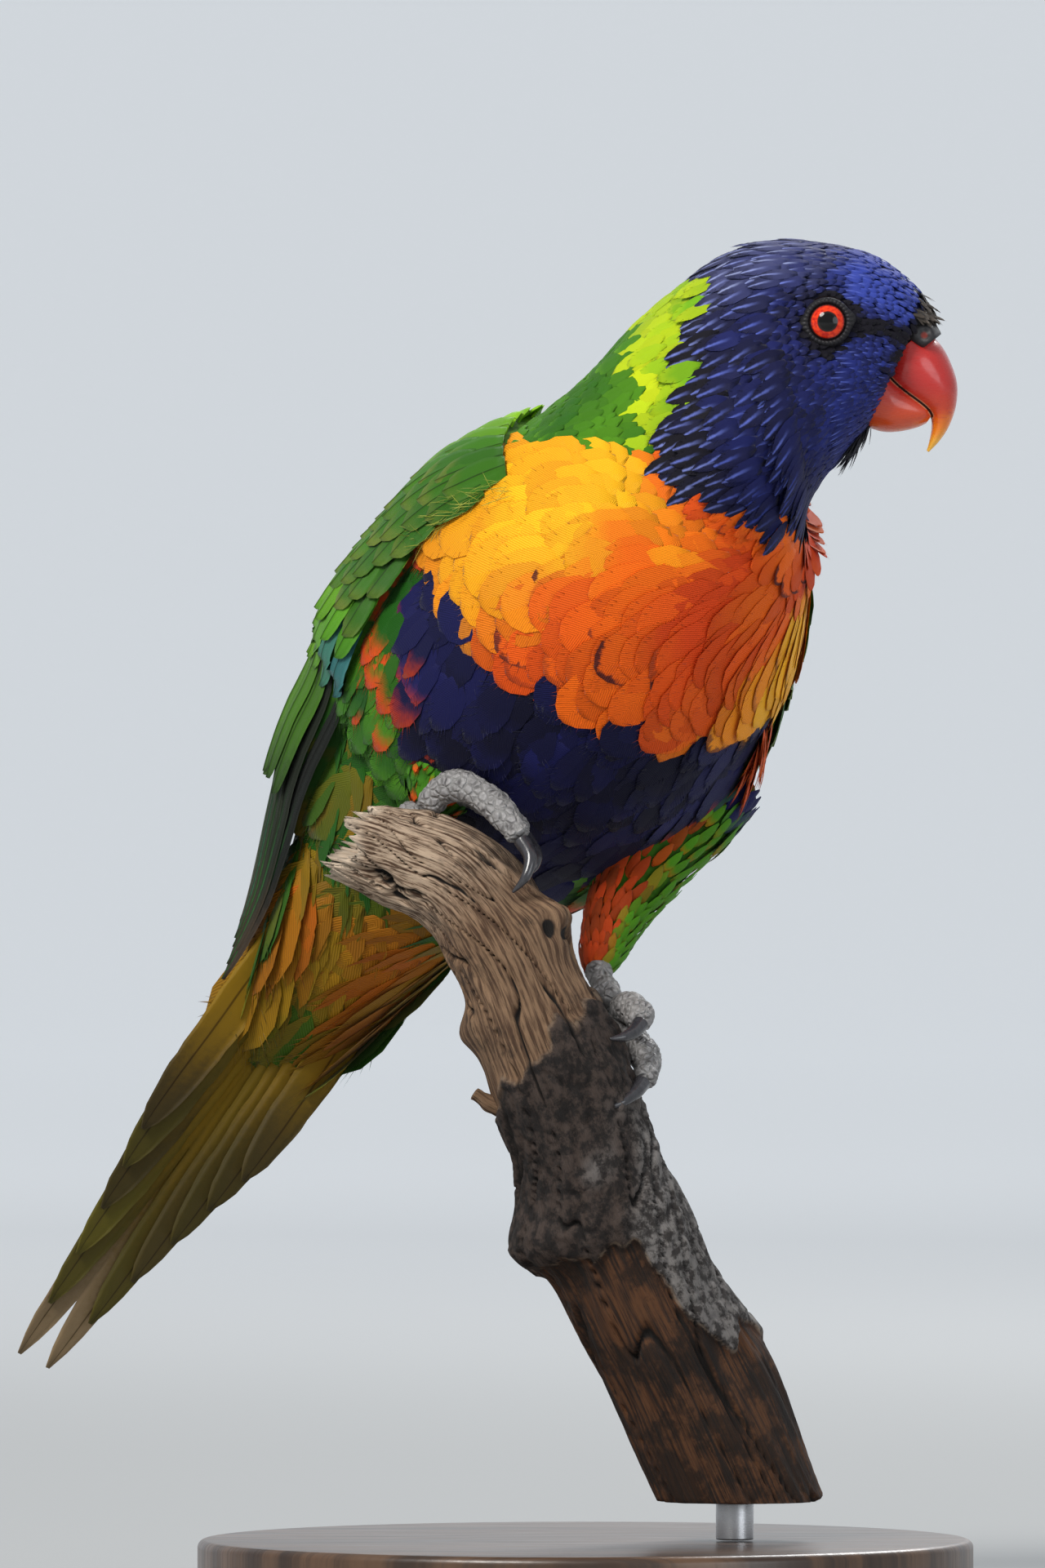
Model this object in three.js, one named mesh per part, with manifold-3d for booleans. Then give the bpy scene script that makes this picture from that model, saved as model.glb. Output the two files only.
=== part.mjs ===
// Rainbow lorikeet, life size, clinging to a short length of dead branch on a plain display stand.
// Millimetres, +Z up. The bill points along +X. The origin is the centre of the stand's underside.
import * as THREE from 'three';
import { mergeVertices } from 'three/addons/utils/BufferGeometryUtils.js';
import Module from 'manifold-3d';

const wasm = await Module();
wasm.setup();

// Driving dimensions
const gap = 0.3;
const smallest = 0.1;
const clearance = 0.45;
const fleshClearance = 1;
const billClearance = 0.7;
const bodySegments = 24;
const irisDiameter = 6.1;
const eyeballRadius = 4.9;
const lidTube = 0.75;
const toeRadius = 2.9;
const tarsusRadius = 2.4;
const baseRadius = 72;
const baseThickness = 12;
const baseEdge = 1.5;
const rodRadius = 3.5;
const branchFoot = 19.5;
const nostrilRadius = 1.15;

// Body stations from the bill base to the end of the tail coverts: centre, dorsal direction,
// and the reach upwards, downwards and sideways.
const bodyStations = [
  { name: 'bill base', at: [58.2, -17, 229.6], dorsal: [0.5, 0, 0.87], up: 11.0, down: 11.0, side: 7.4 },
  { name: 'face', at: [56.0, -17, 229.6], dorsal: [0.39, 0, 0.92], up: 15.0, down: 14.4, side: 11.4 },
  { name: 'brow', at: [50.5, -17, 230.4], dorsal: [0.17, 0, 0.98], up: 19.6, down: 18.2, side: 14.6 },
  { name: 'eye', at: [43.7, -17, 229.8], dorsal: [0, 0, 1], up: 22.6, down: 21.6, side: 16.4 },
  { name: 'cheek', at: [37.2, -17, 227.8], dorsal: [-0.16, 0, 0.99], up: 25.0, down: 24.4, side: 17.6 },
  { name: 'nape', at: [31.4, -17, 222.8], dorsal: [-0.33, 0.05, 0.94], up: 26.8, down: 25.2, side: 19.0 },
  { name: 'mid neck', at: [24.6, -15.5, 214.9], dorsal: [-0.46, 0.3, 0.82], up: 28.2, down: 27.0, side: 22.5 },
  { name: 'neck base', at: [17.2, -10.5, 205.5], dorsal: [-0.36, 0.58, 0.73], up: 28.0, down: 31.0, side: 29.5 },
  { name: 'shoulders', at: [9.6, -4, 194.6], dorsal: [-0.18, 0.76, 0.62], up: 30.0, down: 35.0, side: 35.5 },
  { name: 'chest', at: [2.7, 3, 184.3], dorsal: [-0.09, 0.81, 0.577], up: 31.5, down: 37.0, side: 38.0 },
  { name: 'belly', at: [-5.2, 12, 171.6], dorsal: [-0.09, 0.81, 0.577], up: 30.5, down: 36.5, side: 39.6 },
  { name: 'lower belly', at: [-14.6, 22, 158.4], dorsal: [-0.09, 0.81, 0.577], up: 27.0, down: 32.0, side: 37.0 },
  { name: 'vent', at: [-26.1, 30, 147.4], dorsal: [-0.09, 0.81, 0.577], up: 20.5, down: 24.5, side: 28.0 },
  { name: 'tail base', at: [-34.6, 36.5, 136.6], dorsal: [-0.1, 0.83, 0.55], up: 12.5, down: 17.5, side: 21.5 },
  { name: 'tail coverts', at: [-43.4, 42.3, 124.0], dorsal: [-0.1, 0.85, 0.52], up: 7.0, down: 11.5, side: 18.0 },
  { name: 'covert ends', at: [-52.3, 47.4, 110.7], dorsal: [-0.1, 0.87, 0.48], up: 3.6, down: 6.0, side: 14.0 },
  { name: 'covert tips', at: [-59.0, 51.0, 100.4], dorsal: [-0.1, 0.88, 0.46], up: 1.6, down: 1.8, side: 7.0 },
];

// Folded wings follow a wider sleeve round the body, which closes in beyond the rump.
const sleeveReach = {
  'neck base': [28, 31, 29.5],
  'vent': [21.5, 25, 29.0],
  'tail base': [15.5, 18, 23.5],
  'tail coverts': [12.5, 13, 18.5],
  'covert ends': [11.0, 10, 15.5],
  'covert tips': [10.0, 9, 14.0],
};

const vec = (p) => new THREE.Vector3(...p);

// Uniform Catmull-Rom between four values
function spline(a, b, c, d, t) {
  return 0.5 * (2 * b + (c - a) * t + (2 * a - 5 * b + 4 * c - d) * t * t + (3 * b - a - 3 * c + d) * t * t * t);
}

// A body of oval sections along a bent axis, addressed by distance along the axis and by angle from the back.
class OvalBody {
  constructor(stations) {
    this.rows = stations.map((s) => [...s.at, ...s.dorsal, s.up, s.down, s.side]);
    this.names = stations.map((s) => s.name);
    this.length = [0];
    this.steps = 400;
    for (let i = 1; i <= this.steps; i++) {
      const last = this.centre(this.index(i - 1));
      this.length.push(this.length[i - 1] + this.centre(this.index(i)).distanceTo(last));
    }
  }
  index(step) {
    return (step / this.steps) * (this.rows.length - 1);
  }
  row(u) {
    const last = this.rows.length - 1;
    const k = Math.min(Math.max(Math.floor(u), 0), last - 1);
    const pick = (i) => this.rows[Math.min(Math.max(i, 0), last)];
    return this.rows[k].map((_, j) => spline(pick(k - 1)[j], pick(k)[j], pick(k + 1)[j], pick(k + 2)[j], u - k));
  }
  centre(u) {
    return vec(this.row(u).slice(0, 3));
  }
  // Station index of a distance along the axis
  at(distance) {
    const total = this.length[this.steps];
    const d = Math.min(Math.max(distance, 0), total);
    let i = this.length.findIndex((l) => l >= d);
    if (i < 1) i = 1;
    const share = (d - this.length[i - 1]) / (this.length[i] - this.length[i - 1]);
    return this.index(i - 1 + share);
  }
  distanceOf(name) {
    return this.length[Math.round((this.names.indexOf(name) / (this.rows.length - 1)) * this.steps)];
  }
  // Frame of the section at a distance: axis points to the head, right to the bird's right
  frame(distance) {
    const u = this.at(distance);
    const row = this.row(u);
    const step = 0.05;
    const axis = this.centre(Math.max(u - step, 0)).sub(this.centre(Math.min(u + step, this.rows.length - 1))).normalize();
    const right = axis.clone().cross(vec(row.slice(3, 6))).normalize();
    const dorsal = vec(row.slice(3, 6)).normalize();
    return { centre: vec(row.slice(0, 3)), axis, right, dorsal, up: row[6], down: row[7], side: row[8] };
  }
  point(distance, degrees, out = 0) {
    const f = this.frame(distance);
    const a = THREE.MathUtils.degToRad(degrees);
    const tall = (Math.cos(a) > 0 ? f.up : f.down) + out;
    return f.centre
      .addScaledVector(f.dorsal, Math.cos(a) * tall)
      .addScaledVector(f.right, Math.sin(a) * (f.side + out));
  }
}

// Closed solid from rings of equal length, each ring closed by itself, with flat ends.
// The sides from turned onwards are split along the other diagonal, so that a thin plate's faces match.
function ringSolid(rings, turned = Infinity) {
  const n = rings[0].length;
  const positions = [];
  const triangles = [];
  rings.forEach((ring) => ring.forEach((p) => positions.push(p.x, p.y, p.z)));
  for (let i = 0; i + 1 < rings.length; i++) {
    for (let j = 0; j < n; j++) {
      const a = i * n + j;
      const b = i * n + ((j + 1) % n);
      if (j < turned) triangles.push(a, b, a + n, b, b + n, a + n);
      else triangles.push(a, b, b + n, a, b + n, a + n);
    }
  }
  const cap = (start, flip) => {
    for (let j = 1; j + 1 < n; j++) {
      triangles.push(start, start + (flip ? j : j + 1), start + (flip ? j + 1 : j));
    }
  };
  cap(0, false);
  cap((rings.length - 1) * n, true);
  return solidOf(new Float32Array(positions), new Uint32Array(triangles));
}

function solidOf(vertProperties, triVerts) {
  const made = new wasm.Manifold(new wasm.Mesh({ numProp: 3, vertProperties, triVerts }));
  if (made.volume() >= 0) return made;
  for (let i = 0; i < triVerts.length; i += 3) [triVerts[i], triVerts[i + 1]] = [triVerts[i + 1], triVerts[i]];
  return new wasm.Manifold(new wasm.Mesh({ numProp: 3, vertProperties, triVerts }));
}

function geometrySolid(geometry) {
  const plain = geometry.clone();
  plain.deleteAttribute('normal');
  plain.deleteAttribute('uv');
  const merged = mergeVertices(plain, 1e-3);
  return solidOf(merged.attributes.position.array, new Uint32Array(merged.index.array));
}

const union = (solids) => solids.reduce((whole, next) => whole.add(next));

// The largest closed surface of a solid
function largest(solid) {
  return solid.decompose().reduce((best, next) => (next.volume() > best.volume() ? next : best));
}

// Sections at each station and midway between two, from one station index to another
function ovalSolid(body, from, to, out) {
  const rings = [];
  for (let u = from; u <= to; u += 0.5) {
    const distance = body.length[Math.round((u / (body.rows.length - 1)) * body.steps)];
    const ring = [];
    for (let j = 0; j < bodySegments; j++) ring.push(body.point(distance, (360 * j) / bodySegments, out));
    rings.push(ring);
  }
  return ringSolid(rings);
}

// A tube along points with a radius at each point, grown all round and at its ends by out
function tube(points, radii, segments, steps, out) {
  const curve = new THREE.CatmullRomCurve3(points.map(vec));
  const rings = [];
  const side = new THREE.Vector3(0, 0, 1);
  for (let i = 0; i <= steps; i++) {
    const t = i / steps;
    const centre = curve.getPoint(t);
    const along = curve.getTangent(t);
    side.addScaledVector(along, -side.dot(along)).normalize();
    const other = along.clone().cross(side);
    if (i === 0) centre.addScaledVector(along, -out);
    if (i === steps) centre.addScaledVector(along, out);
    const k = t * (radii.length - 1);
    const lower = Math.min(Math.floor(k), radii.length - 2);
    const radius = out + THREE.MathUtils.lerp(radii[lower], radii[lower + 1], k - lower);
    const ring = [];
    for (let j = 0; j < segments; j++) {
      const a = (2 * Math.PI * j) / segments;
      ring.push(centre.clone().addScaledVector(side, radius * Math.cos(a)).addScaledVector(other, radius * Math.sin(a)));
    }
    rings.push(ring);
  }
  return ringSolid(rings);
}

function ball(centre, radius, detail = 16) {
  return geometrySolid(new THREE.SphereGeometry(radius, detail, Math.round(detail * 0.75)).translate(...centre));
}

const body = new OvalBody(bodyStations);
const sleeve = new OvalBody(
  bodyStations.map((s) => {
    const wide = sleeveReach[s.name];
    return wide ? { ...s, up: wide[0], down: wide[1], side: wide[2] } : s;
  }),
);
const mark = Object.fromEntries(bodyStations.map((s) => [s.name, body.distanceOf(s.name)]));

// Solids by node name. Each is cut clear of all that was placed before it.
const solids = {};
const placed = [];
const boxesMeet = (a, b) => [0, 1, 2].every((i) => a.min[i] < b.max[i] && b.min[i] < a.max[i]);

function place(name, make, grown = clearance) {
  let solid = make(0);
  const box = solid.boundingBox();
  for (const other of placed) if (boxesMeet(box, other.boundingBox())) solid = solid.subtract(other);
  solids[name] = largest(solid.simplify(smallest));
  placed.push(make(grown));
}

// Flesh of the head, neck and torso: one solid, parted by thin flat cuts
const fleshEnd = body.names.indexOf('tail coverts');
const flesh = ovalSolid(body, 0, fleshEnd, 0);
const fleshGrown = ovalSolid(body, 0, fleshEnd, fleshClearance);
const cuts = [mark['nape'] - 1, mark['neck base'] + 1, mark['tail base']].map((distance) => body.frame(distance));

// The piece of a solid before a cut, behind a cut or between two, short of each cut by half a gap or reaching past it
function piece(solid, before, behind, reach) {
  let rest = solid;
  if (behind) rest = rest.trimByPlane(behind.axis.clone().negate().toArray(), -behind.axis.dot(behind.centre) - reach);
  if (before) rest = rest.trimByPlane(before.axis.toArray(), before.axis.dot(before.centre) - reach);
  return largest(rest);
}
const fleshPiece = (before, behind) => (out) => (out ? piece(fleshGrown, before, behind, out) : piece(flesh, before, behind, -gap / 2));
place('torso', fleshPiece(cuts[2], cuts[1]));
place('neck', fleshPiece(cuts[1], cuts[0]));
const headWhole = piece(flesh, cuts[0], null, -gap / 2);
const headRadial = piece(ovalSolid(body, 0, fleshEnd, clearance), cuts[0], null, gap);
const headGrown = headRadial.add(headRadial.translate(clearance, 0, -0.5 * clearance));

// Bill stations in the head's midplane: upper edge, lower edge, half width
const midplane = -17;
const upperBillStations = [
  [[62.6, 236.0], [53.8, 228.9], 6.6],
  [[65.5, 233.2], [55.4, 226.0], 7.1],
  [[67.3, 230.0], [58.4, 223.4], 6.5],
  [[68.5, 226.2], [61.5, 221.5], 5.3],
  [[68.4, 222.3], [63.5, 220.0], 3.9],
  [[67.2, 218.5], [63.8, 218.0], 2.5],
  [[65.4, 215.6], [63.4, 215.5], 1.4],
  [[63.3, 213.4], [62.9, 213.7], 0.3],
];
const lowerBillStations = [
  [[53.6, 227.4], [51.6, 218.2], 6.4],
  [[56.4, 223.9], [54.6, 217.2], 6.2],
  [[59.3, 221.9], [57.8, 217.2], 5.3],
  [[61.9, 220.6], [61.0, 217.9], 3.8],
  [[63.0, 219.7], [62.8, 218.7], 2.2],
];

// Interpolated oval sections between an upper and a lower edge
function billSolid(stations, steps, segments = 16) {
  const pick = (i) => stations[Math.min(Math.max(i, 0), stations.length - 1)].flat();
  const rings = [];
  for (let i = 0; i <= steps; i++) {
    const u = (i / steps) * (stations.length - 1);
    const k = Math.min(Math.floor(u), stations.length - 2);
    const [tx, tz, bx, bz, wide] = pick(k).map((_, j) =>
      spline(pick(k - 1)[j], pick(k)[j], pick(k + 1)[j], pick(k + 2)[j], u - k),
    );
    const ring = [];
    for (let j = 0; j < segments; j++) {
      const a = (2 * Math.PI * j) / segments;
      const share = 0.5 + 0.5 * Math.cos(a);
      ring.push(new THREE.Vector3(bx + (tx - bx) * share, midplane + wide * Math.sin(a), bz + (tz - bz) * share));
    }
    rings.push(ring);
  }
  return ringSolid(rings);
}

// The bill grown by the clearance, also backwards into the head
function grownBill(stations, steps) {
  const wider = stations.map(([[tx, tz], [bx, bz], wide]) => {
    const length = Math.hypot(tx - bx, tz - bz);
    const ux = ((tx - bx) / length) * billClearance;
    const uz = ((tz - bz) / length) * billClearance;
    return [[tx + ux, tz + uz], [bx - ux, bz - uz], wide + billClearance];
  });
  const grown = billSolid(wider, steps);
  return grown.add(grown.translate(-0.63 * billClearance, 0, 0.78 * billClearance));
}

const upperBill = billSolid(upperBillStations, 12);
const upperBillGrown = upperBill.add(grownBill(upperBillStations, 12));
const lowerBillGrown = grownBill(lowerBillStations, 6);

// The cere, a dark band over the root of the bill, with a nostril on each side
const cereStations = [
  [[61.4, 238.0], [55.4, 231.6], 5.8],
  [[63.8, 236.6], [57.0, 229.4], 7.1],
  [[65.3, 234.4], [58.7, 228.1], 7.3],
];
const nostril = { x: 62.3, z: 234.8, side: 6.1 };

// Eyes sit in sockets under a ring of bare lid
const eyeAt = { x: 44.3, z: 237.0, side: 12.4 };
const sides = { right: -1, left: 1 };
const ringRadius = irisDiameter / 2 + 0.6;
let head = headWhole;
for (const [name, side] of Object.entries(sides)) {
  const centre = [eyeAt.x, midplane + side * eyeAt.side, eyeAt.z];
  const rise = Math.sqrt(eyeballRadius ** 2 - ringRadius ** 2) + 0.35;
  const lid = new THREE.TorusGeometry(ringRadius, lidTube, 4, 14);
  lid.rotateX(Math.PI / 2).rotateZ(side * 0.12).rotateX(side * 0.16);
  lid.translate(centre[0], midplane + side * (eyeAt.side + rise), centre[2]);
  head = head.add(geometrySolid(lid)).subtract(ball(centre, eyeballRadius + clearance, 12));
  solids['eye_' + name] = ball(centre, eyeballRadius, 12);
}
solids.head = largest(head.subtract(upperBillGrown).subtract(lowerBillGrown).simplify(smallest));
solids.bill_upper = upperBill;
solids.bill_lower = largest(billSolid(lowerBillStations, 6).subtract(upperBillGrown));
let cere = billSolid(cereStations, 4).subtract(upperBillGrown).subtract(headGrown);
for (const side of [-1, 1]) cere = cere.subtract(ball([nostril.x, midplane + side * nostril.side, nostril.z], nostrilRadius, 10));
solids.cere = largest(cere.simplify(smallest));
placed.push(headGrown);

// Perch: a dead branch with a broken upper end and a sawn lower end
const branchStations = [
  { name: 'broken end', at: [-40.6, -15, 140.6], radius: 7.4 },
  { name: 'stub', at: [-34.0, -16, 138.4], radius: 9.0 },
  { name: 'grip', at: [-25.2, -17.5, 134.4], radius: 9.4 },
  { name: 'bend', at: [-18.4, -19, 127.0], radius: 10.2 },
  { name: 'shoulder', at: [-12.6, -20.5, 115.8], radius: 10.6 },
  { name: 'lower grip', at: [-7.4, -21, 102.0], radius: 11.1 },
  { name: 'neck', at: [-1.4, -19, 87.0], radius: 11.6 },
  { name: 'knot', at: [3.2, -16.5, 73.4], radius: 13.9 },
  { name: 'bough', at: [10.8, -14, 56.6], radius: 13.6 },
  { name: 'lower bough', at: [19.2, -11, 40.0], radius: 13.9 },
  { name: 'sawn end', at: [30.6, -8, 14.6], radius: 14.2 },
];
// Lumps: position along the branch as a share, angle round it in degrees, height, spread along and round
const branchLumps = [
  [0.31, 268, 3.0, 0.05, 34],
  [0.37, 60, 3.0, 0.05, 34],
  [0.52, 80, 2.0, 0.1, 50],
  [0.2, 90, 1.6, 0.09, 40],
  [0.68, 290, 3.4, 0.045, 46],
  [0.03, 20, 2.2, 0.05, 40],
  [0.9, 100, 2.6, 0.05, 40],
];
const branchCurve = new THREE.CatmullRomCurve3(branchStations.map((s) => vec(s.at)));
const branchSegments = 16;
const branchSteps = 24;

function branchFrame(t) {
  const centre = branchCurve.getPoint(t);
  const along = branchCurve.getTangent(t);
  const near = new THREE.Vector3(0, -1, 0).addScaledVector(along, along.y).normalize();
  const right = along.clone().cross(near).normalize();
  const k = t * (branchStations.length - 1);
  const i = Math.min(Math.floor(k), branchStations.length - 2);
  const radius = THREE.MathUtils.lerp(branchStations[i].radius, branchStations[i + 1].radius, k - i);
  return { centre, along, near, right, radius };
}

// Angle 0 faces the viewer, 90 the side away from the tail
function branchPoint(t, degrees, out = 0) {
  const f = branchFrame(t);
  let reach = f.radius + 0.35 * Math.sin(THREE.MathUtils.degToRad(3 * degrees) + 9 * t) + out;
  for (const [at, angle, high, spread, wide] of branchLumps) {
    const round = ((degrees - angle + 540) % 360) - 180;
    reach += high * Math.exp(-(((t - at) / spread) ** 2)) * Math.exp(-((round / wide) ** 2));
  }
  const a = THREE.MathUtils.degToRad(degrees);
  return f.centre.addScaledVector(f.near, reach * Math.cos(a)).addScaledVector(f.right, -reach * Math.sin(a));
}

function branchSolid(out = 0) {
  const rings = [];
  for (let i = 0; i <= branchSteps; i++) {
    const ring = [];
    for (let j = 0; j < branchSegments; j++) ring.push(branchPoint(i / branchSteps, (360 * j) / branchSegments, out));
    rings.push(ring);
  }
  return ringSolid(rings);
}

const below = geometrySolid(new THREE.BoxGeometry(200, 200, 60).translate(0, 0, branchFoot - 30));
place('perch_branch', (out) => branchSolid(out).subtract(below.translate(0, 0, -out)));

// Display stand
const rim = baseRadius - baseEdge;
const baseProfile = [[0, 0], [rim, 0], [baseRadius, baseEdge], [baseRadius, baseThickness - baseEdge], [rim, baseThickness], [0, baseThickness]];
solids.stand_base = geometrySolid(
  new THREE.LatheGeometry(baseProfile.map((p) => new THREE.Vector2(...p)), 36).rotateX(Math.PI / 2),
);
const rodHeight = branchFoot - baseThickness - 2 * gap;
const rodAt = { x: 27.6, y: -8.7 };
solids.stand_rod = geometrySolid(
  new THREE.CylinderGeometry(rodRadius, rodRadius, rodHeight, 16)
    .rotateX(Math.PI / 2)
    .translate(rodAt.x, rodAt.y, baseThickness + gap + rodHeight / 2),
);

// Feathered thighs, bare tarsi with the ball of the foot, then toes and claws that close round the branch
const legs = {
  right: {
    thigh: { points: [[-22.4, 4, 158.4], [-26.2, -5, 152.9], [-28.6, -6, 149.6]], radii: [9, 7.4, 3.8] },
    tarsus: [[-28.5, -5, 149.9], [-28.9, -8, 148.5], [-29, -11, 147.6]],
    toes: [
      { name: 'outer_front', path: [[-29.2, -12, 147.6], [-26.8, -13.5, 150.9], [-22.5, -16, 151.8], [-17.7, -19, 149.1], [-13.8, -22.5, 144.9], [-12, -24, 142.2]], claw: [[-11.7, -24.5, 141.6], [-10.2, -27, 138.6], [-11.2, -28.5, 134.9], [-13.5, -27.8, 132.2]] },
      { name: 'inner_front', path: [[-28, -7, 148.2], [-24.5, -8, 150.6], [-20, -10.5, 150.3], [-15.4, -13.5, 147], [-11.7, -17, 142.8]], claw: [[-11.2, -17.5, 142.2], [-9.3, -20.5, 139.2], [-9.4, -22.5, 137.1], [-10.5, -23.5, 135.5]] },
      { name: 'outer_back', path: [[-29.8, -10, 147.3], [-33.1, -8, 145.2], [-34.7, -6.5, 141.6], [-34, -6, 137.6]], claw: [[-34, -6, 137.3], [-33.6, -6.5, 134], [-32.4, -9, 131], [-31, -12.5, 129.2]] },
      { name: 'inner_back', path: [[-28.3, -5, 146.7], [-29.1, -5, 142.8], [-28.3, -5, 138.5], [-26.8, -6, 134.3]], claw: [[-26.8, -6, 134], [-26, -7, 130.7], [-25.6, -9.5, 128], [-26, -13.5, 126.2]] },
    ],
  },
  left: {
    thigh: { points: [[24.9, 18, 155.2], [18.8, 14, 148.3], [7.3, 8, 130.9], [2.4, 1, 119.1]], radii: [11, 11, 7, 3.6] },
    tarsus: [[2, 1, 119.1], [3.2, -3.5, 115.1], [5.3, -8, 111.3]],
    toes: [
      { name: 'inner_front', path: [[5.8, -10, 110.8], [8.2, -14, 110.8], [9.9, -19, 109.5], [10, -22, 108.2]], claw: [[10, -22.5, 107.9], [8.8, -25, 106.5], [6.8, -27.5, 105.6], [4.4, -29, 105.3]] },
      { name: 'outer_front', path: [[5.6, -9, 109.9], [7.7, -11, 106.3], [10.2, -14, 103.3], [11.4, -18, 100], [10.4, -22, 97.3]], claw: [[10.3, -22.5, 97], [9.1, -25.5, 95.4], [6.6, -28.5, 93.6], [3.8, -30, 92.5]] },
      { name: 'inner_back', path: [[4.4, -7, 111.9], [1.6, -5, 111.9], [-1.7, -4.5, 111], [-5, -6, 109.8]], claw: [[-5.3, -6, 109.7], [-7.4, -7, 108.6], [-9.4, -9, 107.1], [-10.8, -11.5, 105.7]] },
      { name: 'outer_back', path: [[4.7, -6, 109.8], [3.2, -3.5, 106.1], [1, -4, 102.5], [-1.7, -6, 99.8]], claw: [[-2, -6, 99.5], [-3.8, -7.5, 97.7], [-5.6, -9.5, 96.3], [-7.4, -12, 95.4]] },
    ],
  },
};

for (const [side, leg] of Object.entries(legs)) {
  const ballAt = leg.tarsus[leg.tarsus.length - 1];
  place('thigh_' + side, (out) => tube(leg.thigh.points, leg.thigh.radii, 12, 6, out));
  place('tarsus_' + side, (out) =>
    tube(leg.tarsus, [tarsusRadius, tarsusRadius, 2.9], 10, 4, out).add(ball(ballAt, 3.6 + out, 10)),
  );
  for (const toe of leg.toes) {
    place('toe_' + side + '_' + toe.name, (out) => tube(toe.path, [2.6, toeRadius, toeRadius, 2.7, 2.1], 7, 6, out));
  }
  for (const toe of leg.toes) {
    place('claw_' + side + '_' + toe.name, (out) => tube(toe.claw, [1.6, 1.3, 0.9, 0.2], 6, 6, out));
  }
}

// Folded wing: edges of the right and of the left one as angles from the back, and thickness, by station
const wingEdges = [
  ['neck base', 40, 84, 40, 84, 2.5],
  ['shoulders', 26, 93, 26, 93, 4],
  ['chest', 20, 94, 20, 91, 4.4],
  ['belly', 15, 98, 15, 97, 5.6],
  ['lower belly', 12, 102, 12, 100, 8.6],
  ['vent', 14, 102, 12, 92, 8.5],
  ['tail base', 26, 102, 12, 66, 4.5],
  ['tail coverts', 46, 104, 14, 48, 2],
  ['covert ends', 70, 100, 18, 36, 1.5],
];
const wingMarks = wingEdges.map(([name]) => mark[name]);
const wingStart = mark['neck base'] + 6;
const wingCoreEnd = mark['tail base'] + 6;
const wingClearance = 1.1;
const wingSkin = 0.45;

function wingColumn(distance, column) {
  let i = wingMarks.findIndex((m) => m > distance) - 1;
  if (i < 0) i = distance < wingMarks[0] ? 0 : wingMarks.length - 2;
  const share = (distance - wingMarks[i]) / (wingMarks[i + 1] - wingMarks[i]);
  return THREE.MathUtils.lerp(wingEdges[i][column], wingEdges[i + 1][column], share);
}

// A point of the wing: distance along the body, share from the back edge to the front edge, height over the sleeve
function wingPoint(side, distance, share, high) {
  const column = side > 0 ? 1 : 3;
  const degrees = THREE.MathUtils.lerp(wingColumn(distance, column), wingColumn(distance, column + 1), share);
  return sleeve.point(distance, side * degrees, high);
}

// Height of the wing's flesh over the sleeve
function coreHeight(distance, share) {
  const along = (distance - wingStart) / (wingCoreEnd - wingStart);
  const ends = Math.min(1, Math.max(0, along) / 0.12) ** 0.6 * Math.min(1, Math.max(0, 1 - along) / 0.15) ** 0.7;
  const across = Math.sin(Math.PI * Math.min(Math.max(share, 0), 1) ** 0.8) ** 0.7;
  return wingClearance + wingSkin + wingColumn(distance, 5) * ends * across;
}

const wingRows = 8;
const wingColumns = 6;

function wingCore(side, out) {
  const rings = [];
  for (let i = 0; i <= wingRows; i++) {
    const distance = wingStart + ((wingCoreEnd - wingStart) * i) / wingRows;
    const ring = [];
    for (let j = 0; j <= wingColumns; j++) {
      const share = j / wingColumns;
      ring.push(wingPoint(side, distance, share, coreHeight(distance, share) + out));
    }
    for (let j = wingColumns; j >= 0; j--) ring.push(wingPoint(side, distance, j / wingColumns, wingClearance - out));
    rings.push(ring);
  }
  return ringSolid(rings);
}

// A feather's vane over a surface: surface(t, high) is the point at share t of its length and at a height.
// Each section has two sharp edges and a ridge above a flat underside, and roll tilts one edge over its neighbour.
const longVane = [[0, 0.7], [0.5, 1], [0.82, 0.84], [0.96, 0.46], [1, 0.14]];
const shortVane = [[0, 0.75], [0.55, 1], [0.87, 0.76], [1, 0.2]];

function vane(surface, shape, reach, thick, roll, out) {
  const rings = shape.map(([t, share]) => {
    const centre = surface(t, 0);
    const along = surface(t + 0.03, 0).sub(surface(t - 0.03, 0)).normalize();
    const up = surface(t, 1).sub(centre).normalize();
    const aside = along.clone().cross(up).normalize();
    centre.addScaledVector(along, t === 0 ? -out : t === 1 ? out : 0);
    const tilted = aside.clone().applyAxisAngle(along, roll);
    const normal = tilted.clone().cross(along).normalize();
    const wide = reach * share + out;
    const point = (x, y) => centre.clone().addScaledVector(tilted, x).addScaledVector(normal, y);
    return [point(-wide, -thick / 2 - out), point(0, thick / 2 + out), point(wide, -thick / 2 - out)];
  });
  return ringSolid(rings);
}

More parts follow.
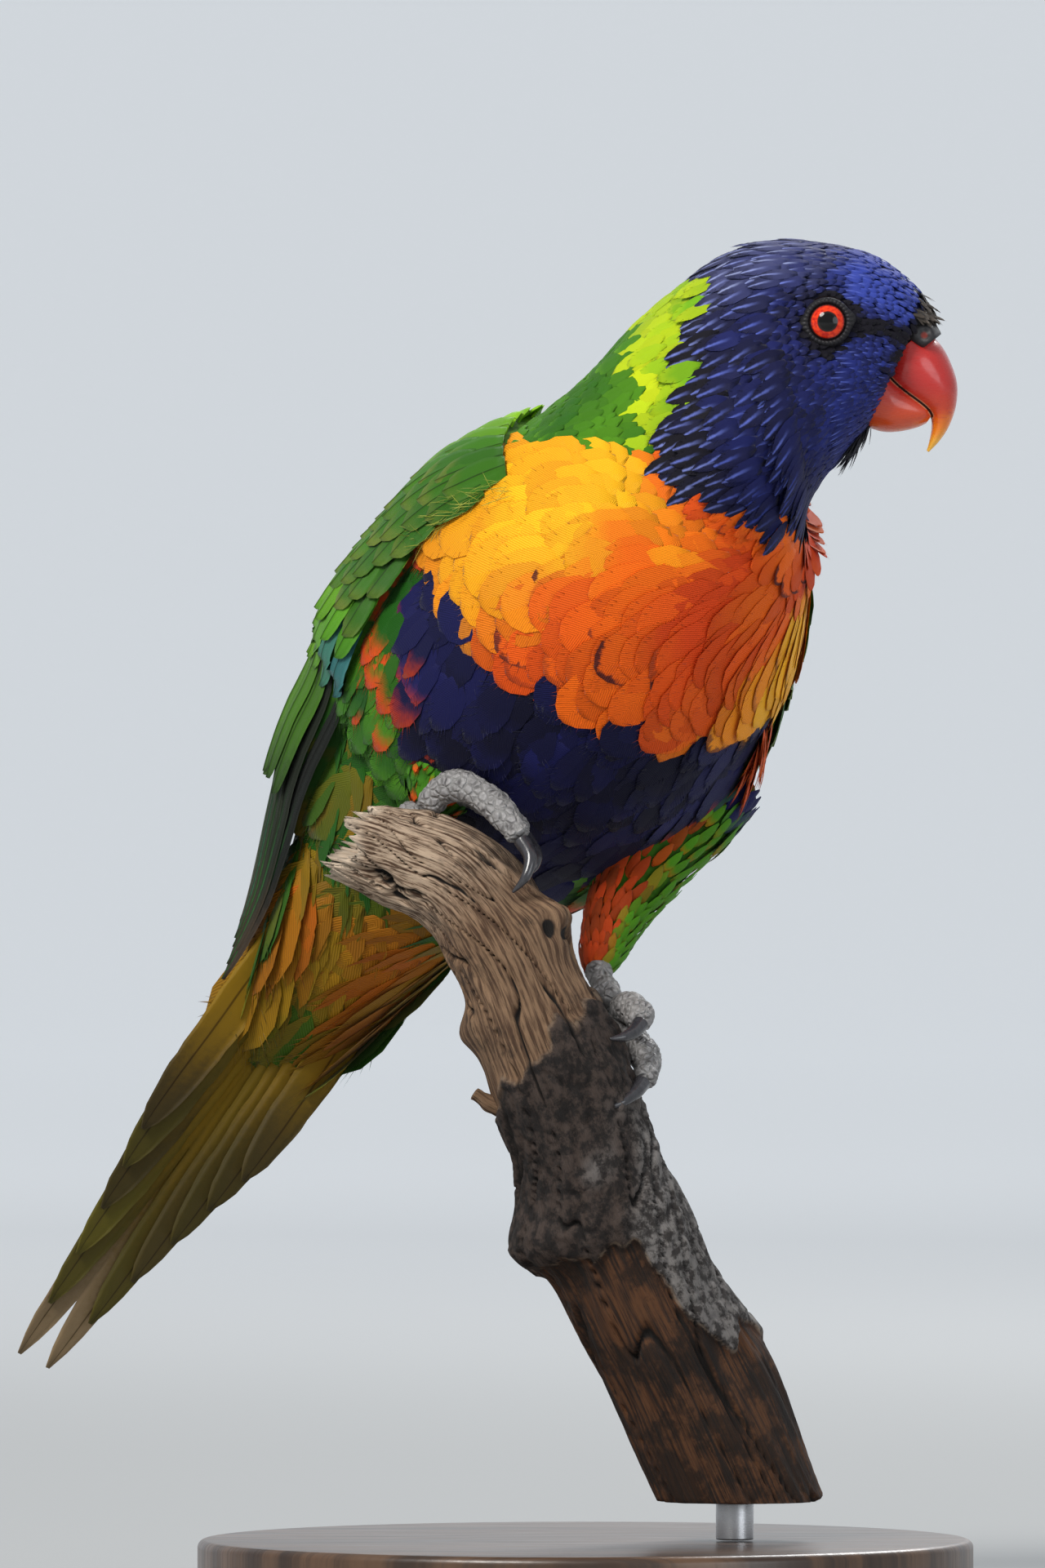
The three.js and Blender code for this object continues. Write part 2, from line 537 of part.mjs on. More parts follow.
// Tiers of wing feathers, from the shoulder to the tip: number, shares of the width they spread over, distances of
// root and tip along the body at the back edge and at the front edge, half width in mm, and how far the tip keeps the
// root's height
const wingTiers = [
  { name: 'lesser 1', count: 3, from: 0.2, to: 0.92, roots: [60, 62], tips: [81, 79], reach: 6.4, shape: shortVane, held: 0.5 },
  { name: 'lesser 2', count: 4, from: 0.18, to: 0.92, roots: [75, 74], tips: [97, 93], reach: 5.4, shape: shortVane, held: 0.5 },
  { name: 'median', count: 5, from: 0.2, to: 0.94, roots: [90, 88], tips: [114, 110], reach: 4.6, shape: shortVane, held: 0.5 },
  { name: 'greater', count: 5, from: 0.16, to: 0.95, roots: [105, 101], tips: [134, 128], reach: 4.8, shape: shortVane, held: 0.5 },
  { name: 'secondaries', count: 5, from: 0.06, to: 0.8, roots: [120, 116], tips: [154, 147], reach: 4.8, shape: longVane, held: 0.6 },
  { name: 'primaries', count: 5, from: 0.3, to: 0.95, roots: [126, 122], tips: [160, 187], reach: 3.7, shape: longVane, held: 0.1 },
];
const scapulars = { count: 3, roots: [62, 92], tips: [90, 124], share: 0.05, reach: 5.8 };
const vaneThick = 0.95;
const vaneSunk = 0.8;
const vaneLift = 1.0;
const vaneRoll = 0.16;

function wingVane(side, root, tip, shape, reach, held, roll, out) {
  const rootHeight = coreHeight(root.distance, root.share);
  const tipHeight = coreHeight(tip.distance, tip.share);
  const surface = (t, high) =>
    wingPoint(
      side,
      THREE.MathUtils.lerp(root.distance, tip.distance, t),
      THREE.MathUtils.lerp(root.share, tip.share, t),
      THREE.MathUtils.lerp(rootHeight - vaneSunk, THREE.MathUtils.lerp(tipHeight, rootHeight, held) + vaneLift, t) + high,
    );
  return vane(surface, shape, reach, vaneThick, side * roll, out);
}

function wingSolid(side, out) {
  const parts = [wingCore(side, out)];
  for (const tier of wingTiers) {
    for (let i = 0; i < tier.count; i++) {
      const across = i / (tier.count - 1);
      const share = THREE.MathUtils.lerp(tier.from, tier.to, across);
      const root = { distance: THREE.MathUtils.lerp(...tier.roots, across), share };
      const tip = { distance: THREE.MathUtils.lerp(...tier.tips, across), share: Math.min(share + 0.02, 0.96) };
      parts.push(wingVane(side, root, tip, tier.shape, tier.reach, tier.held, vaneRoll, out));
    }
  }
  for (let i = 0; i < scapulars.count; i++) {
    const down = i / (scapulars.count - 1);
    const root = { distance: THREE.MathUtils.lerp(...scapulars.roots, down), share: 0.14 };
    const tip = { distance: THREE.MathUtils.lerp(...scapulars.tips, down), share: scapulars.share };
    parts.push(wingVane(side, root, tip, shortVane, scapulars.reach, 0.5, -vaneRoll, out));
  }
  return union(parts);
}

// Tail frame at the tail base
const tailTip = vec([-104.1, 76, 43.4]);
const tailRoot = vec([-37.4, 36.5, 135.4]);
const tailAxis = tailTip.clone().sub(tailRoot).normalize();
const tailDorsal = vec([-0.1, 0.85, 0.52]);
tailDorsal.addScaledVector(tailAxis, -tailDorsal.dot(tailAxis)).normalize();
const tailRight = tailAxis.clone().cross(tailDorsal).normalize();
const tailPoint = (along, aside, high) =>
  tailRoot.clone().addScaledVector(tailAxis, along).addScaledVector(tailRight, aside).addScaledVector(tailDorsal, high);

// Pairs of tail feathers from the long middle pair outwards, each pair lower than the last
const rectrices = [
  { tip: 121.5, aside: 3.2, reach: 4.2 },
  { tip: 109, aside: 4.6, reach: 4.3 },
  { tip: 97, aside: 6.2, reach: 4.4 },
  { tip: 86, aside: 7.9, reach: 4.5 },
  { tip: 76, aside: 9.6, reach: 4.6 },
  { tip: 67, aside: 11.4, reach: 4.4 },
];
const rectrixStep = 0.85;
const rectrixRoot = 2;
// Tail coverts over the tail's root: angle from the back and distances of root and tip along the body
const tailCoverts = [
  [145, 151, 176], [180, 149, 175], [215, 151, 176],
  [160, 168, 195], [200, 168, 195],
  [-35, 151, 176], [0, 149, 178], [35, 151, 176],
];
const covertReach = 6.2;

function tailSolid(out) {
  const parts = [piece(ovalSolid(body, fleshEnd - 2, body.rows.length - 1, out), null, cuts[2], out || -gap / 2)];
  rectrices.forEach(({ tip, aside, reach }, i) => {
    for (const side of [-1, 1]) {
      const surface = (t, high) =>
        tailPoint(
          THREE.MathUtils.lerp(rectrixRoot, tip, t),
          side * THREE.MathUtils.lerp(1.2 + 1.7 * i, aside, Math.max(t, 0) ** 0.8),
          high - rectrixStep * i * Math.min(1, 0.4 + t),
        );
      parts.push(vane(surface, longVane, reach, vaneThick, 0, out));
    }
  });
  for (const [degrees, from, to] of tailCoverts) {
    const surface = (t, high) =>
      body.point(THREE.MathUtils.lerp(from, to, t), degrees, THREE.MathUtils.lerp(-vaneSunk, vaneLift, t) + high);
    parts.push(vane(surface, shortVane, covertReach, vaneThick, 0, out));
  }
  return union(parts);
}

place('tail', tailSolid, fleshClearance);
place('wing_right', (out) => wingSolid(1, out));
place('wing_left', (out) => wingSolid(-1, out));

// Colour, roughness and metalness by the first word of the node's name
const finishes = {
  head: [0x2c3f8f, 0.8, 0],
  neck: [0x8a5a2a, 0.85, 0],
  torso: [0xb8651f, 0.85, 0],
  tail: [0x7a6420, 0.8, 0],
  wing: [0x2f8f1c, 0.75, 0],
  thigh: [0x7a4a1c, 0.85, 0],
  tarsus: [0x85817c, 0.6, 0],
  toe: [0x8a8680, 0.6, 0],
  claw: [0x26252a, 0.25, 0],
  bill: [0xc9301c, 0.3, 0],
  cere: [0x17161a, 0.5, 0],
  eye: [0xd0451a, 0.1, 0],
  perch: [0x7d5f42, 0.85, 0],
  stand: [0x2b211b, 0.45, 0],
};
const rodFinish = [0xb9bcc0, 0.35, 1];

const group = new THREE.Group();
for (const [name, solid] of Object.entries(solids)) {
  const { vertProperties, triVerts } = solid.getMesh();
  const geometry = new THREE.BufferGeometry();
  geometry.setAttribute('position', new THREE.BufferAttribute(new Float32Array(vertProperties), 3));
  geometry.setIndex(new THREE.BufferAttribute(new Uint32Array(triVerts), 1));
  const [color, roughness, metalness] = name === 'stand_rod' ? rodFinish : finishes[name.split('_')[0]];
  const mesh = new THREE.Mesh(geometry, new THREE.MeshStandardMaterial({ color, roughness, metalness }));
  mesh.name = name;
  group.add(mesh);
}
export default group;
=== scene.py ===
# Rainbow lorikeet, life size, on a cut length of dead branch held up by a plain stand.
# Sizes in the dictionaries are millimetres. A mesh gets its metres when it is made.
import math
import bmesh
import bpy
import numpy as np
from types import SimpleNamespace
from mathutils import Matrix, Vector, kdtree, noise
from mathutils.bvhtree import BVHTree


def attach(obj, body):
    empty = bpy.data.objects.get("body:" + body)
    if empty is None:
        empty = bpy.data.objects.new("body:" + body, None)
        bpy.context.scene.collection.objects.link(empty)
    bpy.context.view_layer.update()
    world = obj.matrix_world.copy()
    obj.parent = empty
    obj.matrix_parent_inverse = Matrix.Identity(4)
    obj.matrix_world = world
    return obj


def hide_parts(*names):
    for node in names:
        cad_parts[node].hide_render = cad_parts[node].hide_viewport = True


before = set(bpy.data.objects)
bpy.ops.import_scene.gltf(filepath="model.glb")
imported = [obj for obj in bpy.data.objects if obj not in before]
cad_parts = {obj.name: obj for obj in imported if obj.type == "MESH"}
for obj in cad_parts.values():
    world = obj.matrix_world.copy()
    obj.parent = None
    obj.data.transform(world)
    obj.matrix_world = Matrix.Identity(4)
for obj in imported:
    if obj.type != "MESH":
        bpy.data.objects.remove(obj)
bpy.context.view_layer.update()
mm = 0.001
scene = bpy.context.scene

# The photograph's view: level, from 3 m, with a lens that frames 291 mm of height
view = {"at": (-0.01167, -3.0, 0.15215), "lens": 371.06, "sensor": 36.0}
cameraData = bpy.data.cameras.new("camera")
cameraData.lens, cameraData.sensor_width = view["lens"], view["sensor"]
cameraData.clip_end = 20
camera = bpy.data.objects.new("camera", cameraData)
camera.location, camera.rotation_euler = view["at"], (math.pi / 2, 0, 0)
scene.collection.objects.link(camera)
scene.camera = camera
scene.view_settings.view_transform = "Standard"
print("camera placed")


# Numbers and meshes

def unit(v):
    return v / np.maximum(np.linalg.norm(v, axis=-1, keepdims=True), 1e-9)


def within(x):
    return np.clip(x, 0, 1)


def smooth(low, high, x):
    t = within((np.asarray(x, float) - low) / (high - low))
    return t * t * (3 - 2 * t)


def blend(a, b, t):
    return np.asarray(a, float) + (np.asarray(b, float) - np.asarray(a, float)) * np.asarray(t, float)[..., None]


def catmull(rows, u):
    rows = np.asarray(rows, float)
    last = len(rows) - 1
    k = np.clip(np.floor(u).astype(int), 0, last - 1)
    t = (u - k)[:, None]
    a, b, c, d = (rows[np.clip(k + i, 0, last)] for i in (-1, 0, 1, 2))
    return 0.5 * (2 * b + (c - a) * t + (2 * a - 5 * b + 4 * c - d) * t * t + (3 * b - a - 3 * c + d) * t ** 3)


def gridOf(first, second):
    return np.meshgrid(first, second, indexing="ij")


def turnsOf(count):
    return np.linspace(0, 2 * np.pi, count, endpoint=False)


# Steps along a piece, against angles round it
def stepsAndTurns(steps, around, end=1.0):
    return gridOf(np.linspace(0, end, steps), turnsOf(around))


def setVectors(mesh, values):
    for key, rows in values.items():
        attribute = mesh.attributes.new(key, "FLOAT_VECTOR", "POINT")
        attribute.data.foreach_set("vector", np.asarray(rows, np.float32).ravel())


def cornersOf(mesh):
    corners = np.zeros(len(mesh.loops), dtype=np.int32)
    mesh.loops.foreach_get("vertex_index", corners)
    return corners


def makePiece(name, points, faces, material=None, uv=None, colours=None, slot=None, replaces=()):
    mesh = bpy.data.meshes.new(name)
    mesh.from_pydata((np.asarray(points, float) * mm).tolist(), [], [tuple(f) for f in faces])
    mesh.update()
    for layerName, places in (uv or {}).items():
        layer = mesh.uv_layers.new(name=layerName)
        layer.data.foreach_set("uv", np.asarray(places, np.float32)[cornersOf(mesh)].ravel())
    setVectors(mesh, colours or {})
    mesh.shade_smooth()
    if material:
        mesh.materials.append(material)
    return linkPiece(name, mesh, slot, replaces)


def linkPiece(name, mesh, slot=None, replaces=()):
    piece = bpy.data.objects.new(name, mesh)
    scene.collection.objects.link(piece)
    if slot:
        finishPiece(piece, replaces)
    return piece


def finishPiece(piece, replaces=()):
    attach(piece, "root")
    if replaces:
        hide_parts(*replaces)


def evaluated(piece):
    graph = bpy.context.evaluated_depsgraph_get()
    return bpy.data.meshes.new_from_object(piece.evaluated_get(graph), preserve_all_data_layers=True, depsgraph=graph)


# Faces of rings of equal length. Closed rings wrap round, and caps close both ends.
def ringFaces(rings, count, closed=True, caps=True, start=0):
    faces = []
    for i in range(rings - 1):
        for j in range(count if closed else count - 1):
            a, b = start + i * count + j, start + i * count + (j + 1) % count
            faces.append((a, b, b + count, a + count))
    if caps:
        faces.append(tuple(start + j for j in range(count))[::-1])
        faces.append(tuple(start + (rings - 1) * count + j for j in range(count)))
    return faces


def outward(piece):
    bm = bmesh.new()
    bm.from_mesh(piece.data)
    bmesh.ops.recalc_face_normals(bm, faces=bm.faces)
    bm.to_mesh(piece.data)
    bm.free()


# A closed body from a grid of rings
def makeBody(name, grid, material, slot, replaces=(), uv=None, colours=None):
    outward(makePiece(name, grid.reshape(-1, 3), ringFaces(*grid.shape[:2]), material, uv, colours, slot, replaces))


# Tubes along a path, with a reach that may change along and round it
class Tube:
    def __init__(self, path, radii, steps=200):
        u = np.linspace(0, len(path) - 1, steps)
        self.centre = catmull(path, u)
        self.along = unit(np.gradient(self.centre, axis=0))
        self.radius = np.interp(u / (len(path) - 1), np.linspace(0, 1, len(radii)), radii)
        side = np.array([0.0, 0.0, 1.0])
        sides = []
        for along in self.along:
            side = unit(side - along * side.dot(along))
            sides.append(side)
        self.side = np.array(sides)
        self.other = np.cross(self.along, self.side)
        self.t = np.linspace(0, 1, steps)

    def read(self, table, t):
        return np.stack([np.interp(t, self.t, table[:, j]) for j in range(table.shape[1])], -1)

    def point(self, t, turn, out=0):
        t, turn = np.broadcast_arrays(np.asarray(t, float), np.asarray(turn, float))
        reach = (np.interp(t, self.t, self.radius) + out)[..., None]
        side, other = self.read(self.side, t), self.read(self.other, t)
        return self.read(self.centre, t) + reach * (side * np.cos(turn)[..., None] + other * np.sin(turn)[..., None])


# The body's oval sections, addressed by distance from the bill and by angle from the back.
# Each row: centre, dorsal direction, reach up, down and sideways.
bodyStations = [
    (58.2, -17, 229.6, 0.5, 0, 0.87, 11, 11, 7.4),
    (56, -17, 229.6, 0.39, 0, 0.92, 15, 14.4, 11.4),
    (50.5, -17, 230.4, 0.17, 0, 0.98, 19.6, 18.2, 14.6),
    (43.7, -17, 229.8, 0, 0, 1, 22.6, 21.6, 16.4),
    (37.2, -17, 227.8, -0.16, 0, 0.99, 25, 24.4, 17.6),
    (31.4, -17, 222.8, -0.33, 0.05, 0.94, 26.8, 25.2, 19),
    (24.6, -15.5, 214.9, -0.46, 0.3, 0.82, 28.2, 27, 22.5),
    (17.2, -10.5, 205.5, -0.36, 0.58, 0.73, 28, 31, 29.5),
    (9.6, -4, 194.6, -0.18, 0.76, 0.62, 30, 35, 35.5),
    (2.7, 3, 184.3, -0.09, 0.81, 0.577, 31.5, 37, 38),
    (-5.2, 12, 171.6, -0.09, 0.81, 0.577, 30.5, 36.5, 39.6),
    (-14.6, 22, 158.4, -0.09, 0.81, 0.577, 27, 32, 37),
    (-26.1, 30, 147.4, -0.09, 0.81, 0.577, 20.5, 24.5, 28),
    (-34.6, 36.5, 136.6, -0.1, 0.83, 0.55, 12.5, 17.5, 21.5),
    (-43.4, 42.3, 124, -0.1, 0.85, 0.52, 7, 11.5, 18),
    (-52.3, 47.4, 110.7, -0.1, 0.87, 0.48, 3.6, 6, 14),
    (-59, 51, 100.4, -0.1, 0.88, 0.46, 1.6, 1.8, 7),
]
# The folded wings lie on a wider sleeve: station number and its reach
sleeveReach = {7: (28, 31, 29.5), 12: (21.5, 25, 29), 13: (15.5, 18, 23.5), 14: (12.5, 13, 18.5),
               15: (11, 10, 15.5), 16: (10, 9, 14)}


class OvalBody:
    def __init__(self, rows):
        table = catmull(rows, np.linspace(0, len(rows) - 1, 401))
        centre = table[:, :3]
        steps = np.linalg.norm(np.diff(centre, axis=0), axis=1)
        self.length = np.concatenate([[0], np.cumsum(steps)])
        axis = unit(-np.gradient(centre, axis=0))
        right = unit(np.cross(axis, table[:, 3:6]))
        self.columns = np.hstack([centre, unit(table[:, 3:6]), right, table[:, 6:]])

    def frame(self, s):
        return np.stack([np.interp(s, self.length, self.columns[:, j]) for j in range(12)], -1)

    def point(self, s, degrees, out=0):
        s, degrees = np.broadcast_arrays(np.asarray(s, float), np.asarray(degrees, float))
        f, a = self.frame(s), np.radians(degrees)
        tall = np.where(np.cos(a) > 0, f[..., 9], f[..., 10]) + out
        return (f[..., :3] + f[..., 3:6] * (np.cos(a) * tall)[..., None]
                + f[..., 6:9] * (np.sin(a) * (f[..., 11] + out))[..., None])

    # Outward normal and the direction towards the tail
    def lie(self, s, degrees):
        along = unit(self.point(s + 0.8, degrees) - self.point(s - 0.8, degrees))
        across = self.point(s, degrees + 1.5) - self.point(s, degrees - 1.5)
        out = unit(np.cross(across, along))
        away = self.point(s, degrees, 1) - self.point(s, degrees, 0)
        return out * np.sign((out * away).sum(-1, keepdims=True)), along


body = OvalBody(bodyStations)
sleeve = OvalBody([(*row[:6], *sleeveReach.get(i, row[6:])) for i, row in enumerate(bodyStations)])
bodyEnd = body.length[-1]

# Where a point lies on the body: distance from the bill and angle from the back
gridS, gridTurn = gridOf(np.arange(0, bodyEnd, 2.0), np.arange(-180, 180, 4.0))
gridPoints = body.point(gridS, gridTurn).reshape(-1, 3)
tree = kdtree.KDTree(len(gridPoints))
for i, p in enumerate(gridPoints):
    tree.insert(p, i)
tree.balance()


def placeOf(points):
    index = np.array([tree.find(p)[1] for p in points])
    return gridS.ravel()[index], gridTurn.ravel()[index]


# Markings: one rule for the skin and the coat
plumes = {
    "headDark": (0.007, 0.006, 0.011), "headBlue": (0.016, 0.024, 0.17), "headStreak": (0.13, 0.175, 0.60),
    "crownStreak": (0.36, 0.41, 0.70), "browBlue": (0.045, 0.075, 0.42), "throat": (0.008, 0.010, 0.070),
    "lime": (0.55, 0.66, 0.008), "limeDeep": (0.16, 0.40, 0.008), "green": (0.085, 0.27, 0.008),
    "greenLight": (0.17, 0.40, 0.010), "red": (0.66, 0.055, 0.006), "orange": (0.84, 0.135, 0.005),
    "yellow": (0.96, 0.46, 0.008), "bar": (0.10, 0.016, 0.012), "violet": (0.003, 0.003, 0.017),
    "violetLight": (0.009, 0.010, 0.075), "flank": (0.010, 0.085, 0.005), "flankLight": (0.075, 0.26, 0.008),
    "vent": (0.30, 0.165, 0.006), "ventOrange": (0.40, 0.10, 0.005), "ventGreen": (0.016, 0.10, 0.006),
    "thighBrown": (0.30, 0.045, 0.006), "crownGround": (0.085, 0.095, 0.24),
}
# Edges between colours, as (angle from the back, distance from the bill) or (distance, angle)
edges = {
    "hood": ([0, 33, 57, 75, 93, 108, 125, 145, 165, 180], [26, 27.5, 30.5, 33.5, 38, 39.5, 36.5, 34, 30, 28]),
    "collar": ([0, 52, 72, 88, 98], [38.5, 38.5, 39, 40.5, 40]),
    "breastTop": ([36, 42.5, 50, 57, 61.5, 69, 73, 82], [101, 93, 83, 72, 64, 66, 90, 106]),
    "breastLow": ([-180, -156, -131, -110, -90, 84, 98, 110, 130, 150, 180],
                  [72, 72, 69, 64, 62, 67, 70, 72.5, 72.5, 72, 72]),
    "leftBelly": ([82, 92, 104, 125], [88, 118, 140, 160]),
    "bellySide": ([74, 84, 92, 100, 110, 120, 128], [101, 108, 117, 131, 143, 153, 164]),
}


def edgeAt(name, at):
    return np.interp(at, *edges[name])


# Soft patches over the body, from about -0.5 to 0.5
def cloud(points, size, seed):
    return np.array([noise.noise(Vector(p) / size + Vector((seed, 0, 0))) for p in points])


# Where the regions start and stop: distance from the bill, and angle from the back
zones = {
    "eye": (13.0, 71), "eyeTurn": 0.27, "eyePatch": (5.6, 4.4), "lores": ([2, 13], [68, 75]),
    "collarTurn": 97, "belly": (58, 126), "flank": (64, 78), "vent": (128, 84),
}


def eyeDistance(s, a, ahead=0.0):
    return np.hypot(s - zones["eye"][0] - ahead, (a - zones["eye"][1]) * zones["eyeTurn"])


def markings(s, degrees, chance):
    a, turn = np.abs(degrees), degrees
    where = body.point(s, degrees)
    wide, mid, broad = (cloud(where, size, seed) for size, seed in ((16, 1), (8, 5), (13, 33)))
    c = SimpleNamespace(**{key: np.broadcast_to(np.array(value), a.shape + (3,)) for key, value in plumes.items()})
    r1, r2, r3 = chance[..., 0], chance[..., 1], chance[..., 2]
    flat, s = s, s + 3.0 * mid
    hood = s < edgeAt("hood", a)
    collar = ~hood & (s < edgeAt("collar", a)) & (a < zones["collarTurn"])
    breast = ~hood & ~collar & (a > edgeAt("breastTop", s)) & (s < edgeAt("breastLow", turn))
    belly = ~hood & ~collar & ~breast & (s > zones["belly"][0]) & (s < zones["belly"][1])
    belly &= (a > edgeAt("bellySide", s)) & ((turn > 0) | (a > edgeAt("leftBelly", s)))
    under = ~belly & (s > zones["vent"][0]) & (a > zones["vent"][1])
    flank = ~breast & ~belly & ~under & (s > zones["flank"][0]) & (a > zones["flank"][1])

    # Each region writes over the back's own green: ground, tip, streak, how streaked and how far tipped
    ground = blend(c.green, c.flank, within(0.3 + 1.2 * wide + 0.2 * r1))
    edge = blend(c.greenLight, c.green, within(0.4 + mid + 0.3 * r2))
    look = [ground, edge, edge, 0 * a, 0.6 + 0 * a]

    def put(region, *new):
        for i, value in enumerate(new):
            look[i] = np.where(region[..., None] if i < 3 else region, value, look[i])

    # Hood: black round the eye and on the lores, deep blue throat, pale streaks on the crown
    lores = np.abs(a - np.interp(flat, *zones["lores"]))
    dark = np.maximum(smooth(*zones["eyePatch"], eyeDistance(flat, a)), smooth(14, 11, flat) * smooth(8, 4, lores))
    dark = np.maximum(dark, smooth(2.6, 1, flat) * smooth(120, 90, a))
    low = smooth(100, 150, a) * smooth(10, 24, s)
    rear = smooth(9, 1, edgeAt("hood", a) - s)
    brow = smooth(66, 52, a) * smooth(14, 7, s)
    lit = within(smooth(62, 30, a) * smooth(6, 16, s) + 0.4 * rear)
    lit = blend(blend(c.headStreak, c.crownStreak, lit), c.browBlue, within(0.75 * low + 0.75 * r1 - 0.2))
    near = smooth(20, 8, s) * smooth(60, 80, a)
    deep = within(0.32 - 0.35 * near + 0.5 * r2 + 0.55 * rear - 0.4 * brow)
    base = blend(blend(c.headBlue, c.headDark, deep), c.browBlue, within(0.75 * brow + 0.2 * near * r1))
    crown = smooth(60, 34, a) * smooth(9, 18, s)
    base = blend(blend(base, c.crownGround, 0.75 * crown * (0.4 + 0.6 * r2)), c.throat, 0.8 * low)
    base = blend(base, c.headDark, dark)
    streaked = within(1.15 - 1.3 * dark - 0.5 * low - 0.3 * r3 + 0.3 * crown)
    put(hood, base, blend(base, c.headDark, 0.55 + 0 * a), lit, streaked, 0.5)

    greener = within(0.15 + 1.4 * mid + 0.5 * smooth(70, 92, a) + 0.25 * r1)
    put(collar, blend(c.lime, c.limeDeep, greener), blend(c.lime, c.limeDeep, 0.6 * greener), c.lime, 0.0, 0.7)

    # Breast: red to orange, with yellow patches at the sides and a few dark crescents below the throat
    side = smooth(152, 118, a + 26 * wide) * smooth(43, 50, s) * smooth(88, 78, s)
    side = np.maximum(side, 0.8 * smooth(0.02, 0.24, broad) * smooth(168, 140, a) * smooth(46, 56, s))
    orange = blend(c.red, c.orange, within(0.5 + 1.5 * wide + 0.8 * broad + 0.2 * (r1 - 0.5)))
    warm = blend(orange, c.yellow, within(side * (0.85 + 0.9 * broad + 0.15 * r2)))
    rowEdge = blend(warm, c.red, within(0.15 + 0.3 * r2 + 0.35 * (r1 < 0.25)))
    crescent = (r3 < 0.2) * smooth(112, 138, a) * within(0.5 + 1.6 * mid)
    put(breast, warm, rowEdge, c.bar, -crescent, 0.5)

    # Belly and flank: some feathers are tipped red where the two meet
    nearFlank = smooth(24, 6, a - edgeAt("bellySide", s))
    tipWarm = (r3 < 0.34 * nearFlank) | ((s < 85) & (r3 < 0.24) & (a < 132))
    bellyTip = np.where(tipWarm[..., None], c.red * 0.7, blend(c.violetLight, c.violet, r2))
    violet = blend(c.violet, c.violetLight, within(0.25 + 1.5 * mid + 0.2 * r1))
    put(belly, violet, bellyTip, c.violet, 0.0, 0.55)
    tipWarm = r3 < 0.72 * smooth(112, 90, s) + 0.04
    flankTip = np.where(tipWarm[..., None], blend(c.red, c.orange, 0.5 * r2) * 0.85,
                        blend(c.flankLight, c.flank, r2))
    lush = within(smooth(84, 112, s) * (0.5 + 1.6 * mid))
    put(flank, blend(c.flank, c.flankLight, lush), flankTip, c.flank, 0.0, 0.75)

    # Vent and under the tail: olive to orange, green at the edges and in patches
    fringe = np.maximum(smooth(106, 92, a) * smooth(144, 154, s), smooth(0.10, 0.26, broad) * smooth(166, 146, s))
    fringe = np.maximum(fringe, smooth(172, 180, s) * (0.5 + mid))
    fringe = np.maximum(fringe, smooth(158, 142, s) * within(0.95 + 1.6 * mid))
    soft = blend(c.vent, c.ventOrange, within(0.35 + 1.8 * wide + 1.2 * mid))
    ventGround = blend(soft, c.ventGreen, within(fringe + 0.15 * (r2 - 0.5)))
    ventTip = blend(ventGround, c.ventGreen, within(0.25 * r1 + 0.8 * (r3 < 0.16)))
    put(under, ventGround, ventTip, c.ventOrange, 0.25, 0.5)
    return {"ground": look[0], "edge": look[1], "streak": look[2], "mood": np.stack([look[3], look[4], r1], -1)}


# Nodes of materials and of geometry trees
def feed(tree, socket, value):
    if isinstance(value, bpy.types.NodeSocket):
        tree.links.new(value, socket)
    elif isinstance(value, tuple) and len(value) == 3 and socket.type == "RGBA":
        socket.default_value = (*value, 1)
    else:
        socket.default_value = value


def addNode(tree, kind, inputs=None, **settings):
    made = tree.nodes.new(kind)
    for key, value in settings.items():
        setattr(made, key, value)
    for key, value in (inputs or {}).items():
        feed(tree, made.inputs[key], value)
    return made


